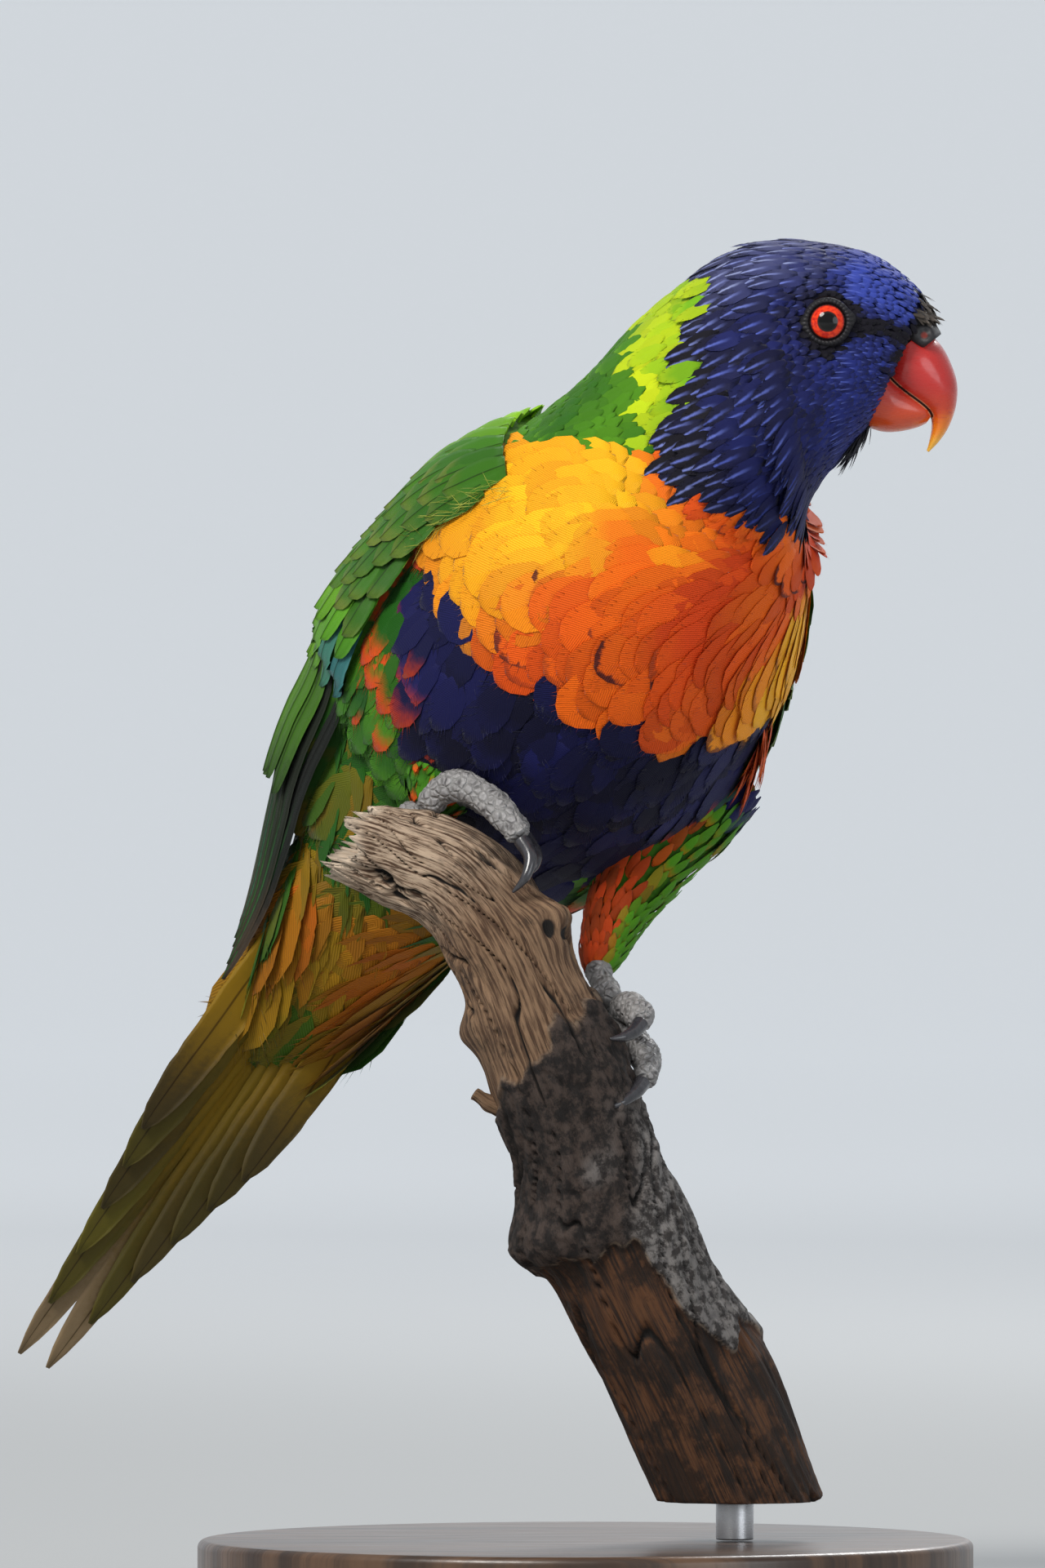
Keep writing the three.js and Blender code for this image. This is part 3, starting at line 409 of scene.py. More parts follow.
class Shade:
    def __init__(self, name):
        self.material = bpy.data.materials.new(name)
        self.material.use_nodes = True
        self.tree = self.material.node_tree
        self.main = self.tree.nodes["Principled BSDF"]

    def node(self, kind, inputs=None, **settings):
        return addNode(self.tree, kind, inputs, **settings)

    def put(self, name, value):
        feed(self.tree, self.main.inputs[name], value)

    def math(self, operation, a, b=0.0):
        return self.node("ShaderNodeMath", {0: a, 1: b}, operation=operation).outputs[0]

    def plus(self, a, b):
        return self.math("ADD", a, b)

    def minus(self, a, b):
        return self.math("SUBTRACT", a, b)

    def times(self, a, b):
        return self.math("MULTIPLY", a, b)

    # Moves a value to and fro by a noise
    def stray(self, value, noise, amount):
        return self.plus(value, self.times(self.minus(noise, 0.5), amount))

    def hypot(self, a, b):
        return self.math("SQRT", self.plus(self.times(a, a), self.times(b, b)))

    def mix(self, factor, a, b, way="MIX"):
        return self.node("ShaderNodeMix", {0: factor, 6: a, 7: b}, data_type="RGBA", blend_type=way).outputs[2]

    # Lays colours over one another, each by its own mask
    def over(self, colour, *layers):
        for mask, layer in layers:
            colour = self.mix(mask, colour, layer)
        return colour

    def step(self, value, low, high, bottom=0.0, top=1.0):
        made = self.node("ShaderNodeMapRange", {"Value": value, "From Min": low, "From Max": high,
                                                "To Min": bottom, "To Max": top}, interpolation_type="SMOOTHSTEP")
        return made.outputs[0]

    def attribute(self, name):
        return self.node("ShaderNodeAttribute", attribute_name=name).outputs["Vector"]

    def parts(self, vector):
        made = self.node("ShaderNodeSeparateXYZ", {0: vector})
        return made.outputs[0], made.outputs[1], made.outputs[2]

    def place(self, centre=(0, 0, 0), size=(1, 1, 1), turn=(0, 0, 0)):
        coords = self.node("ShaderNodeTexCoord").outputs["Object"]
        moved = self.node("ShaderNodeMapping", {"Vector": coords, "Location": tuple(-v for v in centre)})
        return self.node("ShaderNodeMapping", {"Vector": moved.outputs[0], "Rotation": turn, "Scale": size}).outputs[0]

    def noise(self, vector, scale, detail=3.0, rough=0.5):
        made = self.node("ShaderNodeTexNoise", {"Vector": vector, "Scale": scale, "Detail": detail, "Roughness": rough})
        return made.outputs[0]

    def cells(self, vector, scale, feature="DISTANCE_TO_EDGE"):
        return self.node("ShaderNodeTexVoronoi", {"Vector": vector, "Scale": scale}, feature=feature).outputs[0]

    def uv(self, name):
        return self.node("ShaderNodeUVMap", uv_map=name).outputs[0]

    def bump(self, height, strength, distance):
        made = self.node("ShaderNodeBump", {"Height": height, "Strength": strength, "Distance": distance})
        self.put("Normal", made.outputs[0])

    def finish(self, colour, roughness, **fixed):
        self.put("Base Color", colour)
        self.put("Roughness", roughness)
        for key, value in fixed.items():
            self.main.inputs[key.replace("_", " ")].default_value = value
        return self.material


# A feather's own pattern: ground, tip band, shaft streak, dark rim and slanting barbs, on its own UV map
def plumage(name, barbs, shaft, softness, sheen, roughness):
    m = Shade(name)
    u, v, _ = m.parts(m.uv("vane"))
    streaked, tipped, chance = m.parts(m.attribute("mood"))
    aside = m.math("ABSOLUTE", m.minus(u, 0.5))
    fleck = m.noise(m.place(), 900, 3)
    slant = m.plus(m.times(aside, -0.9), v)
    lines = m.math("SINE", m.times(m.plus(slant, m.times(fleck, 0.012)), barbs))
    reach = m.plus(m.stray(v, fleck, 0.22), m.times(aside, 0.25))
    band = m.times(m.times(m.step(reach, 0.66 - softness, 1.0), tipped), 1.6)
    taper = m.stray(m.plus(aside, m.times(m.minus(v, 0.6), 0.10)), fleck, 0.12)
    core = m.times(m.step(taper, 0.12, 0.01), m.step(v, 0.30, 0.85))
    rim = m.step(m.plus(reach, m.times(aside, 0.2)), 0.93, 1.0)
    colour = m.over(m.attribute("ground"), (m.math("MINIMUM", band, 1.0), m.attribute("edge")),
                    (m.times(core, m.math("MAXIMUM", streaked, 0.0)), m.attribute("streak")),
                    (m.times(rim, m.math("MAXIMUM", m.times(streaked, -1.0), 0.0)), m.attribute("streak")))
    quill = m.times(m.step(aside, 0.035, 0.012), shaft)
    colour = m.mix(quill, colour, m.mix(1.0, colour, (0.25, 0.2, 0.15), "MULTIPLY"))
    shade = m.times(m.step(lines, -1.0, 1.0, 0.82, 1.08), m.step(chance, 0, 1, 0.88, 1.1))
    tone = m.node("ShaderNodeCombineXYZ", {0: shade, 1: shade, 2: shade}).outputs[0]
    m.bump(lines, 0.35, 0.00012)
    return m.finish(m.mix(1.0, colour, tone, "MULTIPLY"), roughness,
                    Sheen_Weight=sheen, Sheen_Roughness=0.4, Specular_IOR_Level=0.14)


finishes = {
    "coat": plumage("soft plumage", 150, 0.0, 0.10, 0.06, 0.6),
    "vanes": plumage("vaned plumage", 420, 0.8, 0.02, 0.04, 0.46),
}


def skinFinish():
    m = Shade("feathered skin")
    fleck = m.noise(m.place(), 700, 4)
    colour = m.mix(m.step(fleck, 0.3, 0.7), m.attribute("ground"), m.attribute("edge"))
    colour = m.mix(1.0, colour, (0.55, 0.52, 0.5), "MULTIPLY")
    m.bump(fleck, 0.4, 0.0002)
    return m.finish(colour, 0.8, Specular_IOR_Level=0.2)


finishes["skin"] = skinFinish()

# Skin: head, neck, body, thighs and the flesh of wings and tail as one surface under the coat
skin = {"depth": 1.6, "headDepth": 1.0, "limbDepth": 0.9, "wingUnder": -3.0, "voxel": 1.5, "soften": (4, 0.5)}
thighs = {
    "right": {"path": [(-22.4, 4, 158.4), (-26.2, -5, 152.9), (-28.6, -6, 149.6)], "radii": [9, 7.4, 3.8]},
    "left": {"path": [(24.9, 18, 155.2), (18.8, 14, 148.3), (7.3, 8, 130.9), (2.4, 1, 119.1)],
             "radii": [11, 11, 7, 3.6]},
}
wing = {
    "marks": [52.7, 67.5, 81.7, 99.2, 118.2, 136.0, 151.2, 167.7, 184.5],
    "right": ([40, 26, 20, 15, 12, 14, 26, 46, 70], [84, 93, 94, 98, 102, 102, 102, 104, 100]),
    "left": ([40, 26, 20, 15, 12, 12, 12, 14, 18], [84, 93, 91, 97, 100, 92, 66, 48, 36]),
    "thick": [2.5, 4, 4.4, 5.6, 8.6, 8.5, 4.5, 2, 1.5],
    "start": 58.7, "end": 157.2, "clear": 1.1, "skin": 0.45,
}
thighTubes = {side: Tube(t["path"], t["radii"]) for side, t in thighs.items()}


def wingHeight(s, share):
    along = (s - wing["start"]) / (wing["end"] - wing["start"])
    ends = np.minimum(1, np.maximum(0, along) / 0.12) ** 0.6 * np.minimum(1, np.maximum(0, 1 - along) / 0.15) ** 0.7
    across = np.maximum(np.sin(np.pi * within(share) ** 0.8), 0) ** 0.7
    return wing["clear"] + wing["skin"] + np.interp(s, wing["marks"], wing["thick"]) * ends * across


def wingPoint(side, s, share, high):
    back, front = wing["right" if side > 0 else "left"]
    b, f = np.interp(s, wing["marks"], back), np.interp(s, wing["marks"], front)
    return sleeve.point(s, side * (b + (f - b) * share), high)


def buildSkin():
    points, faces = [], []

    def add(grid):
        start = sum(len(p) for p in points)
        rings, count = grid.shape[:2]
        points.append(grid.reshape(-1, 3))
        faces.extend(ringFaces(rings, count, start=start))

    s, turn = gridOf(np.linspace(0.8, bodyEnd - 4, 110), np.arange(0, 360, 6.0))
    depth = skin["headDepth"] + (skin["depth"] - skin["headDepth"]) * smooth(26, 60, s)
    add(body.point(s, turn, -np.minimum(depth, 0.4 * body.frame(s)[..., 9])))
    for tube in thighTubes.values():
        add(tube.point(*stepsAndTurns(24, 32), -skin["limbDepth"]))
    for side in (1, -1):
        s, share = gridOf(np.linspace(wing["start"] + 2, wing["end"] - 3, 50), np.linspace(0.03, 0.97, 20))
        top = wingPoint(side, s, share, wingHeight(s, share) - skin["limbDepth"])
        bottom = wingPoint(side, s, share, skin["wingUnder"])
        add(np.concatenate([top, bottom[:, ::-1]], axis=1))
    piece = makePiece("skin", np.concatenate(points), faces)
    outward(piece)
    remesh = piece.modifiers.new("one surface", "REMESH")
    remesh.mode, remesh.voxel_size = "VOXEL", skin["voxel"] * mm
    soften = piece.modifiers.new("soften", "SMOOTH")
    soften.iterations, soften.factor = skin["soften"]
    mesh = evaluated(piece)
    piece.modifiers.clear()
    piece.data = mesh
    mesh.name = "skin"
    where = np.zeros(len(mesh.vertices) * 3)
    mesh.vertices.foreach_get("co", where)
    s, turn = placeOf(where.reshape(-1, 3) / mm)
    marks = markings(s, turn, np.random.default_rng(3).random((len(s), 3)) * 0.4 + 0.3)
    setVectors(mesh, {key: marks[key] for key in ("ground", "edge")})
    mesh.materials.clear()
    mesh.materials.append(finishes["skin"])
    mesh.shade_smooth()
    finishPiece(piece, ("head", "neck", "torso", "thigh_right", "thigh_left"))


buildSkin()
print("skin made")


# Small feathers: unit vanes with loose barbs at the tip, set on root points by Geometry Nodes
def vaneShape(name, profile, columns, barbs, reach, seed, arch=0.10, bend=0.12, thick=0.04, hair=0.010):
    chance = np.random.default_rng(seed)
    points, faces = [], []
    xs = np.linspace(-1, 1, columns)
    ring = columns + 1

    def height(x, y):
        return 0.5 - arch * 4 * x * x - bend * y * y * 4

    def inside(x, y):
        return y < profile[-1][0] and abs(x) < np.interp(y, *zip(*profile))

    for y, half in profile:
        points += [(x * half, y, height(x * half, y) + thick * (1 - x * x)) for x in xs]
        points.append((0, y, height(0, y) - thick))
    faces += ringFaces(len(profile), ring)
    rim = {i * ring + k for i in range(len(profile)) for k in (0, columns - 1)}
    # Barbs fan out from the rim
    for i in range(barbs):
        a = math.radians(88) * ((i + chance.uniform(0.2, 0.8)) / barbs * 2 - 1)
        dx, dy = math.sin(a), math.cos(a)
        r = 0.05
        while r < 0.6 and inside(dx * r, 0.6 + dy * r):
            r += 0.02
        low, high, w = r - 0.10, r + reach * chance.uniform(0.4, 1.0), hair
        x0, y0, x1, y1 = dx * low, 0.6 + dy * low, dx * high, 0.6 + dy * high + 0.3 * (high - low)
        n = len(points)
        points += [(x0 - w * dy, y0 + w * dx, height(x0, y0)), (x0 + w * dy, y0 - w * dx, height(x0, y0)),
                   (x0, y0, height(x0, y0) + thick), (x1, y1, height(x1, y1) + 0.05 * chance.random())]
        faces += [(n, n + 1, n + 2), (n, n + 3, n + 1), (n + 1, n + 3, n + 2), (n + 2, n + 3, n)]
    mesh = bpy.data.meshes.new(name)
    mesh.from_pydata(points, [], faces)
    layer = mesh.uv_layers.new(name="vane")
    for loop in mesh.loops:
        x, y, _ = mesh.vertices[loop.vertex_index].co
        layer.data[loop.index].uv = (min(max(x + 0.5, 0), 1), min(max(y, 0), 1))
    mesh.shade_smooth()
    for edge in mesh.edges:
        if edge.vertices[0] in rim and edge.vertices[1] in rim:
            edge.use_edge_sharp = True
    return linkPiece(name, mesh)


# Half widths from the root to the tip, and each kind's columns, barbs, their reach, first seed and curve
leafShape = [(0, 0.10), (0.25, 0.38), (0.55, 0.48), (0.8, 0.38), (0.97, 0.10)]
broadShape = [(0, 0.12), (0.25, 0.42), (0.55, 0.5), (0.8, 0.44), (0.93, 0.27), (1.0, 0.08)]
narrowShape = [(0, 0.14), (0.3, 0.40), (0.65, 0.42), (0.88, 0.24), (1.0, 0.04)]
vaneKinds = {
    "narrow": (narrowShape, 3, 6, 0.09, 20, {"arch": 0.20, "bend": 0.26, "hair": 0.014}),
    "leaf": (leafShape, 5, 9, 0.09, 30, {"arch": 0.12, "bend": 0.28}),
    "broad": (broadShape, 5, 10, 0.07, 40, {"arch": 0.15, "bend": 0.38, "thick": 0.02, "hair": 0.006}),
    "loose": (leafShape, 5, 12, 0.20, 50, {"arch": 0.12, "bend": 0.30}),
}
vanes = {kind: [vaneShape("%s_vane_%d" % (kind, i), *plan[:4], plan[4] + i, **plan[5]) for i in range(3)]
         for kind, plan in vaneKinds.items()}


def coatTree():
    group = bpy.data.node_groups.new("coat of vanes", "GeometryNodeTree")
    group.interface.new_socket("Geometry", in_out="OUTPUT", socket_type="NodeSocketGeometry")
    kinds = {"Geometry": "Geometry", "First vane": "Object", "Second vane": "Object", "Third vane": "Object",
             "Seed": "Int", "Sway": "Vector", "Lift": "Float", "Finish": "Material"}
    sockets = {name: group.interface.new_socket(name, in_out="INPUT", socket_type="NodeSocket" + kind).identifier
               for name, kind in kinds.items()}

    def make(kind, inputs=None, **settings):
        return addNode(group, kind, inputs, **settings)

    given = make("NodeGroupInput").outputs
    joined = make("GeometryNodeJoinGeometry")
    for name in ("First vane", "Second vane", "Third vane"):
        info = make("GeometryNodeObjectInfo", {"Object": given[name]})
        feed(group, joined.inputs[0], make("GeometryNodeGeometryToInstance", {0: info.outputs["Geometry"]}).outputs[0])
    out, lie, size = (make("GeometryNodeInputNamedAttribute", {"Name": name}, data_type="FLOAT_VECTOR").outputs[0]
                      for name in ("out", "lie", "size"))
    turn = make("FunctionNodeAxesToRotation", {0: out, 1: lie}, primary_axis="Z", secondary_axis="Y")
    minus = make("ShaderNodeVectorMath", {0: given["Sway"], "Scale": -1}, operation="SCALE")
    sway = make("FunctionNodeRandomValue", {"Min": minus.outputs[0], "Max": given["Sway"], "Seed": given["Seed"]},
                data_type="FLOAT_VECTOR")
    lift = make("ShaderNodeCombineXYZ", {0: given["Lift"]})
    tilt = make("ShaderNodeVectorMath", {0: sway.outputs[0], 1: lift.outputs[0]})
    euler = make("FunctionNodeEulerToRotation", {0: tilt.outputs[0]})
    turned = make("FunctionNodeRotateRotation", {"Rotation": turn.outputs[0], "Rotate By": euler.outputs[0]},
                  rotation_space="LOCAL")
    choice = make("FunctionNodeRandomValue", {"Seed": given["Seed"]}, data_type="INT")
    low, high = (socket for socket in choice.inputs if socket.type == "INT" and socket.name in ("Min", "Max"))
    low.default_value, high.default_value = 0, 2
    index = [socket for socket in choice.outputs if socket.type == "INT"][0]
    place = make("GeometryNodeInstanceOnPoints", {
        "Points": given["Geometry"], "Instance": joined.outputs[0], "Pick Instance": True, "Instance Index": index,
        "Rotation": turned.outputs[0], "Scale": size})
    real = make("GeometryNodeRealizeInstances", {0: place.outputs[0]})
    painted = make("GeometryNodeSetMaterial", {"Geometry": real.outputs[0], "Material": given["Finish"]})
    make("NodeGroupOutput", {0: painted.outputs[0]})
    return group, sockets


coatGroup, coatInputs = coatTree()
bakePatch = 0.003


# Each vane's map is a small patch at its root's place on the skin's unwrap
def growCoat(name, roots, kind, seed, lift, sway, slot):
    points = makePiece(name + "_roots", roots["at"], [])
    setVectors(points.data, {key: rows for key, rows in roots.items() if key != "at"})
    modifier = points.modifiers.new("coat", "NODES")
    modifier.node_group = coatGroup
    first, second, third = vanes[kind]
    for key, value in {"First vane": first, "Second vane": second, "Third vane": third, "Seed": seed,
                       "Lift": math.radians(lift), "Finish": finishes["coat"],
                       "Sway": tuple(math.radians(v) for v in sway)}.items():
        modifier[coatInputs[key]] = value
    mesh = evaluated(points)
    bpy.data.objects.remove(points)
    mesh.name = name
    unwrap = np.zeros(len(mesh.vertices) * 3, dtype=np.float32)
    mesh.attributes["unwrap"].data.foreach_get("vector", unwrap)
    unwrap = unwrap.reshape(-1, 3)[cornersOf(mesh)][:, :2]
    own = np.zeros(len(mesh.loops) * 2, dtype=np.float32)
    mesh.uv_layers["vane"].data.foreach_get("uv", own)
    places = unwrap + (own.reshape(-1, 2) - 0.5) * bakePatch
    mesh.uv_layers.new(name="OFBake").data.foreach_set("uv", places.astype(np.float32).ravel())
    for key in ("out", "lie", "size", "unwrap"):
        mesh.attributes.remove(mesh.attributes[key])
    linkPiece(name, mesh, slot)
    print("coat", name, len(roots["at"]), "feathers", sum(len(p.vertices) - 2 for p in mesh.polygons), "triangles")


def spacing(value, s):
    return float(np.interp(s, *value)) if isinstance(value, tuple) else value


def unwrapOf(s, around):
    return np.stack([around / 360 * 0.78 + 0.01, s / bodyEnd * 0.98 + 0.01, 0 * s], -1)


# Staggered rows of roots over the body, kept where the zone says so
def bodyRoots(plan, seed):
    chance = np.random.default_rng(seed)
    fine = np.arange(-180, 180.1, 1.0)
    rows, s, number = [], plan["from"], 0
    while s < plan["to"]:
        ring = body.point(s, fine)
        arc = np.concatenate([[0], np.cumsum(np.linalg.norm(np.diff(ring, axis=0), axis=1))])
        alongStep = spacing(plan["along"], s)
        count = max(int(arc[-1] / spacing(plan["across"], s)), 4)
        at = ((np.arange(count) + 0.5 * (number % 2) + chance.uniform(-0.22, 0.22, count)) / count) % 1 * arc[-1]
        turn = np.interp(at, arc, fine)
        rows.append(np.stack([s + chance.uniform(-0.35, 0.35, count) * alongStep, turn], -1))
        s, number = s + alongStep, number + 1
    s, turn = np.concatenate(rows).T
    keep = plan["zone"](s, turn)
    s, turn = s[keep], turn[keep]
    wide, long, tall = (np.broadcast_to(np.asarray(v(s, np.abs(turn)) if callable(v) else v, float), s.shape)
                        for v in plan["size"])
    vary = chance.uniform(0.86, 1.14, (len(s), 2))
    out, lie = body.lie(s, turn)
    luck = chance.random((len(s), 3))
    marks = markings(s + chance.uniform(-1, 1, len(s)), turn + chance.uniform(-2, 2, len(s)), luck)
    if plan.get("flows"):
        last = edgeAt("breastLow", turn) - 4
        middle, tip = (markings(np.maximum(np.minimum(s + share * long, last), s), turn, luck)
                       for share in (0.35, 0.75))
        marks["ground"] = middle["ground"]
        marks["edge"] = blend(tip["ground"], marks["edge"], 0.3)
    size = np.stack([wide * vary[:, 0], long * vary[:, 1], tall], -1) * mm
    depth = np.minimum(plan["depth"], 0.35 * body.frame(s)[:, 9])
    return {"at": body.point(s, turn, -depth), "out": out, "lie": lie, "size": size,
            "unwrap": unwrapOf(s, turn + 180), **marks}


def underWing(s, turn):
    back, front = (np.interp(s, wing["marks"], wing["right"][i]) for i in (0, 1))
    leftBack, leftFront = (np.interp(s, wing["marks"], wing["left"][i]) for i in (0, 1))
    low = np.where(turn > 0, back, leftBack) + 9
    high = np.where(turn > 0, front, leftFront) - 8
    return (s > 66) & (s < 146) & (np.abs(turn) > low) & (np.abs(turn) < high)


def nearEye(s, a):
    return 0.42 + 0.58 * smooth(3.5, 9, eyeDistance(s, a, 1.5))


def headWide(s, a):
    return (1.5 + 2.4 * smooth(4, 26, s)) * (0.3 + 0.7 * nearEye(s, a))


def headLong(s, a):
    return (2.4 + 5.8 * smooth(2, 26, s) + 1.0 * smooth(100, 150, a) * smooth(14, 26, s)) * nearEye(s, a)


def breastTop(s, turn):
    return np.abs(turn) > edgeAt("breastTop", s)


def headCoat(s, turn):
    return (s >= 9) & (s < edgeAt("hood", np.abs(turn)) + 1)


def collarCoat(s, turn):
    return (s > edgeAt("hood", np.abs(turn)) - 1.5) & ~breastTop(s, np.abs(turn) - 3)


def breastCoat(s, turn):
    below = s > edgeAt("hood", np.abs(turn)) - 1
    return below & breastTop(s, np.abs(turn) + 2) & (s < edgeAt("breastLow", turn) + 1)


def bellyCoat(s, turn):
    return (s > edgeAt("breastLow", turn)) & (np.abs(turn) > 76) & ~underWing(s, turn)


def backCoat(s, turn):
    nape = np.abs(turn) < np.where(s < 75, edgeAt("breastTop", s), 90)
    return (np.abs(turn) < 86) & nape & ~underWing(s, turn)


# Rows of small feathers from the bill to the tail: row steps, sunk depth, vane, lift, sway, width, length and height
coats = {
    "face": {"from": 1.0, "to": 10, "along": 1.0, "across": 1.1, "depth": 0.8, "kind": "narrow", "lift": 8,
             "size": (headWide, headLong, 1.0), "sway": (4, 3, 9), "slot": "head_plumage",
             "zone": lambda s, turn: s < 10},
    "crown_and_cheeks": {"from": 9, "to": 42, "along": ([9, 28], [1.2, 2.0]), "across": ([9, 28], [1.2, 2.0]),
                         "depth": 1.0, "kind": "narrow", "lift": 5, "size": (headWide, headLong, 1.2),
                         "sway": (4, 4, 8), "slot": "head_plumage", "zone": headCoat},
    "collar": {"from": 26, "to": 62, "along": 1.9, "across": 2.1, "depth": 1.3, "kind": "leaf", "lift": 5,
               "size": (3.8, 8.0, 1.5), "sway": (3, 3, 8), "slot": "neck_plumage", "zone": collarCoat},
    "breast": {"from": 27, "to": 84, "along": 2.4, "across": 3.0, "depth": 1.1, "kind": "broad", "lift": 3.0,
               "size": (lambda s, a: 5.5 + 5 * smooth(34, 58, s), lambda s, a: 8 + 6.5 * smooth(34, 58, s), 1.5),
               "sway": (1.2, 1.2, 5), "slot": "body_plumage", "zone": breastCoat, "flows": True},
    "belly": {"from": 58, "to": 126, "along": 2.6, "across": 2.7, "depth": 1.6, "kind": "loose", "lift": 3.5,
              "size": (7.0, 13, 1.7), "sway": (3.5, 4, 10), "slot": "body_plumage", "zone": bellyCoat},
    "vent": {"from": 122, "to": 150, "along": 3.0, "across": 3.0, "depth": 1.6, "kind": "loose", "lift": 4,
             "size": (9.5, 19, 1.8), "sway": (2.5, 3, 10), "slot": "body_plumage",
             "zone": lambda s, turn: (s > 122) & (np.abs(turn) > 70) & ~underWing(s, turn)},
    "under_tail": {"from": 148, "to": 180, "along": 3.2, "across": 4.0, "depth": 1.0, "kind": "loose", "lift": 2,
                   "size": (11.5, 23, 1.8), "sway": (1.5, 2, 7), "slot": "tail_plumage",
                   "zone": lambda s, turn: np.abs(turn) > 80},
    "back": {"from": 58, "to": 180, "along": 2.8, "across": 3.2, "depth": 1.2, "kind": "leaf", "lift": 3,
             "size": (6.0, 11, 1.8), "sway": (3, 3, 7), "slot": "body_plumage", "zone": backCoat},
}
for number, (name, plan) in enumerate(coats.items()):
    growCoat(name + "_coat", bodyRoots(plan, 100 + number), plan["kind"], number, plan["lift"], plan["sway"],
             plan["slot"])


# Thigh feathers hang over the shanks: rows and feathers round each, size at the top and its loss by the foot
thighCoat = {"rows": 15, "round": 22, "sunk": -0.8, "size": (2.6, 7.5, 1.4), "loss": (0.8, 3.0, 0), "lift": 7,
             "sway": (5, 5, 10), "unwrap": {"right": 0.81, "left": 0.91}}


def thighRoots(side, tube, seed):
    chance, plan = np.random.default_rng(seed), thighCoat
    t, turn = gridOf(np.linspace(0.05, 0.93, plan["rows"]), turnsOf(plan["round"]))
    stagger = np.repeat(np.arange(plan["rows"]) % 2, plan["round"]) * 0.14
    t, turn = t.ravel(), turn.ravel() + stagger + chance.uniform(-0.08, 0.08, t.size)
    at = tube.point(t, turn, plan["sunk"])
    lie = unit(tube.point(np.minimum(t + 0.02, 1), turn) - tube.point(np.maximum(t - 0.02, 0), turn))
    out = unit(at - tube.read(tube.centre, t))
    out = unit(out - lie * (out * lie).sum(-1, keepdims=True))
    r = chance.random((len(t), 3))
    c = SimpleNamespace(**{key: np.array(value) for key, value in plumes.items()})
    if side == "right":
        ground = blend(c.flank, c.flankLight, r[:, 0])
        edge = np.where((r[:, 2] < 0.3)[:, None], blend(c.red, c.orange, r[:, 1]),
                        blend(c.flankLight, c.flank, r[:, 1]))
    else:
        ground = blend(c.thighBrown, c.red, 0.7 * r[:, 0])
        ground = blend(ground, c.flankLight, smooth(0.35, 0.6, out[:, 0] + 0.3 * r[:, 1]))
        ground = blend(ground, c.violetLight, smooth(0.36, 0.22, t + 0.1 * r[:, 2]))
        edge = blend(ground, c.orange, 0.45 * r[:, 1] * (t > 0.3))
    size = np.stack([first - loss * t for first, loss in zip(plan["size"], plan["loss"])], -1)
    size = size * chance.uniform(0.85, 1.15, (len(t), 1)) * mm
    unwrap = np.stack([plan["unwrap"][side] + 0.08 * turn / (2 * np.pi + 0.5), 0.02 + 0.9 * t, 0 * t], -1)
    return {"at": at, "out": out, "lie": lie, "size": size, "unwrap": unwrap, "ground": ground, "edge": edge,
            "streak": edge, "mood": np.stack([0 * t, 0.7 + 0 * t, r[:, 0]], -1)}


for number, (side, tube) in enumerate(thighTubes.items()):
    growCoat("thigh_coat_" + side, thighRoots(side, tube, 70 + number), "loose", 50 + number, thighCoat["lift"],
             thighCoat["sway"], "thigh_plumage")


# Tufts that stand apart from the rows: their place on the body, the way they lie, and dark and light colour
tufts = {
    "brow": {"count": 90, "s": (0.1, 2.2), "turn": (-46, 46), "rise": -0.8, "lie": (0.72, 0, -0.55), "stray": 0.18,
             "size": (1.0, 2.9, 0.7), "colours": ((0.020, 0.016, 0.014), (0.16, 0.13, 0.105)),
             "kind": "narrow", "slot": "head_plumage"},
    "chin": {"count": 80, "s": (0.2, 5), "turn": (158, 202), "rise": -0.6, "lie": (-0.42, 0, -0.90), "stray": 0.15,
             "size": (1.1, 5.6, 1.0), "colours": ((0.006, 0.006, 0.010), (0.020, 0.020, 0.040)),
             "kind": "narrow", "slot": "head_plumage"},
    "left_flank": {"count": 46, "s": (84, 95), "turn": (-119, -101), "rise": -1.0, "lie": (-0.12, -0.10, -0.98),
                   "stray": 0.12, "size": (3.6, 8.5, 1.6), "colours": ((0.55, 0.050, 0.006), (0.84, 0.16, 0.01)),
                   "kind": "loose", "slot": "body_plumage"},
    "wing_edge": {"count": 130, "s": (60, 84), "turn": (88, 97), "rise": 1.4, "lie": (-0.60, 0.14, -0.22),
                  "stray": 0.30, "size": (0.15, 4.0, 0.2), "colours": ((0.22, 0.26, 0.02), (0.50, 0.50, 0.12)),
                  "kind": "narrow", "slot": "body_plumage"},
}


def tuftRoots(plan, seed):
    chance, count = np.random.default_rng(seed), plan["count"]
    s, turn = chance.uniform(*plan["s"], count), chance.uniform(*plan["turn"], count)
    r = chance.random((count, 3))
    lie = unit(np.array(plan["lie"]) + chance.normal(0, plan["stray"], (count, 3)))
    away = body.lie(s, turn)[0]
    out = unit(away - lie * (away * lie).sum(-1, keepdims=True))
    low, high = plan["colours"]
    ground, edge = blend(low, high, 0.4 * r[:, 0]), blend(low, high, 0.3 + 0.7 * r[:, 1])
    size = np.array(plan["size"]) * chance.uniform(0.7, 1.15, (count, 1)) * mm
    return {"at": body.point(s, turn, plan["rise"]), "out": out, "lie": lie, "size": size, "ground": ground,
            "edge": edge, "streak": edge, "unwrap": unwrapOf(s, (turn + 180) % 360),
            "mood": np.stack([0 * s, 0.6 + 0 * s, r[:, 2]], -1)}


for number, (name, plan) in enumerate(tufts.items()):
    growCoat(name + "_tuft_coat", tuftRoots(plan, 300 + number), plan["kind"], 80 + number, 4, (4, 6, 6), plan["slot"])


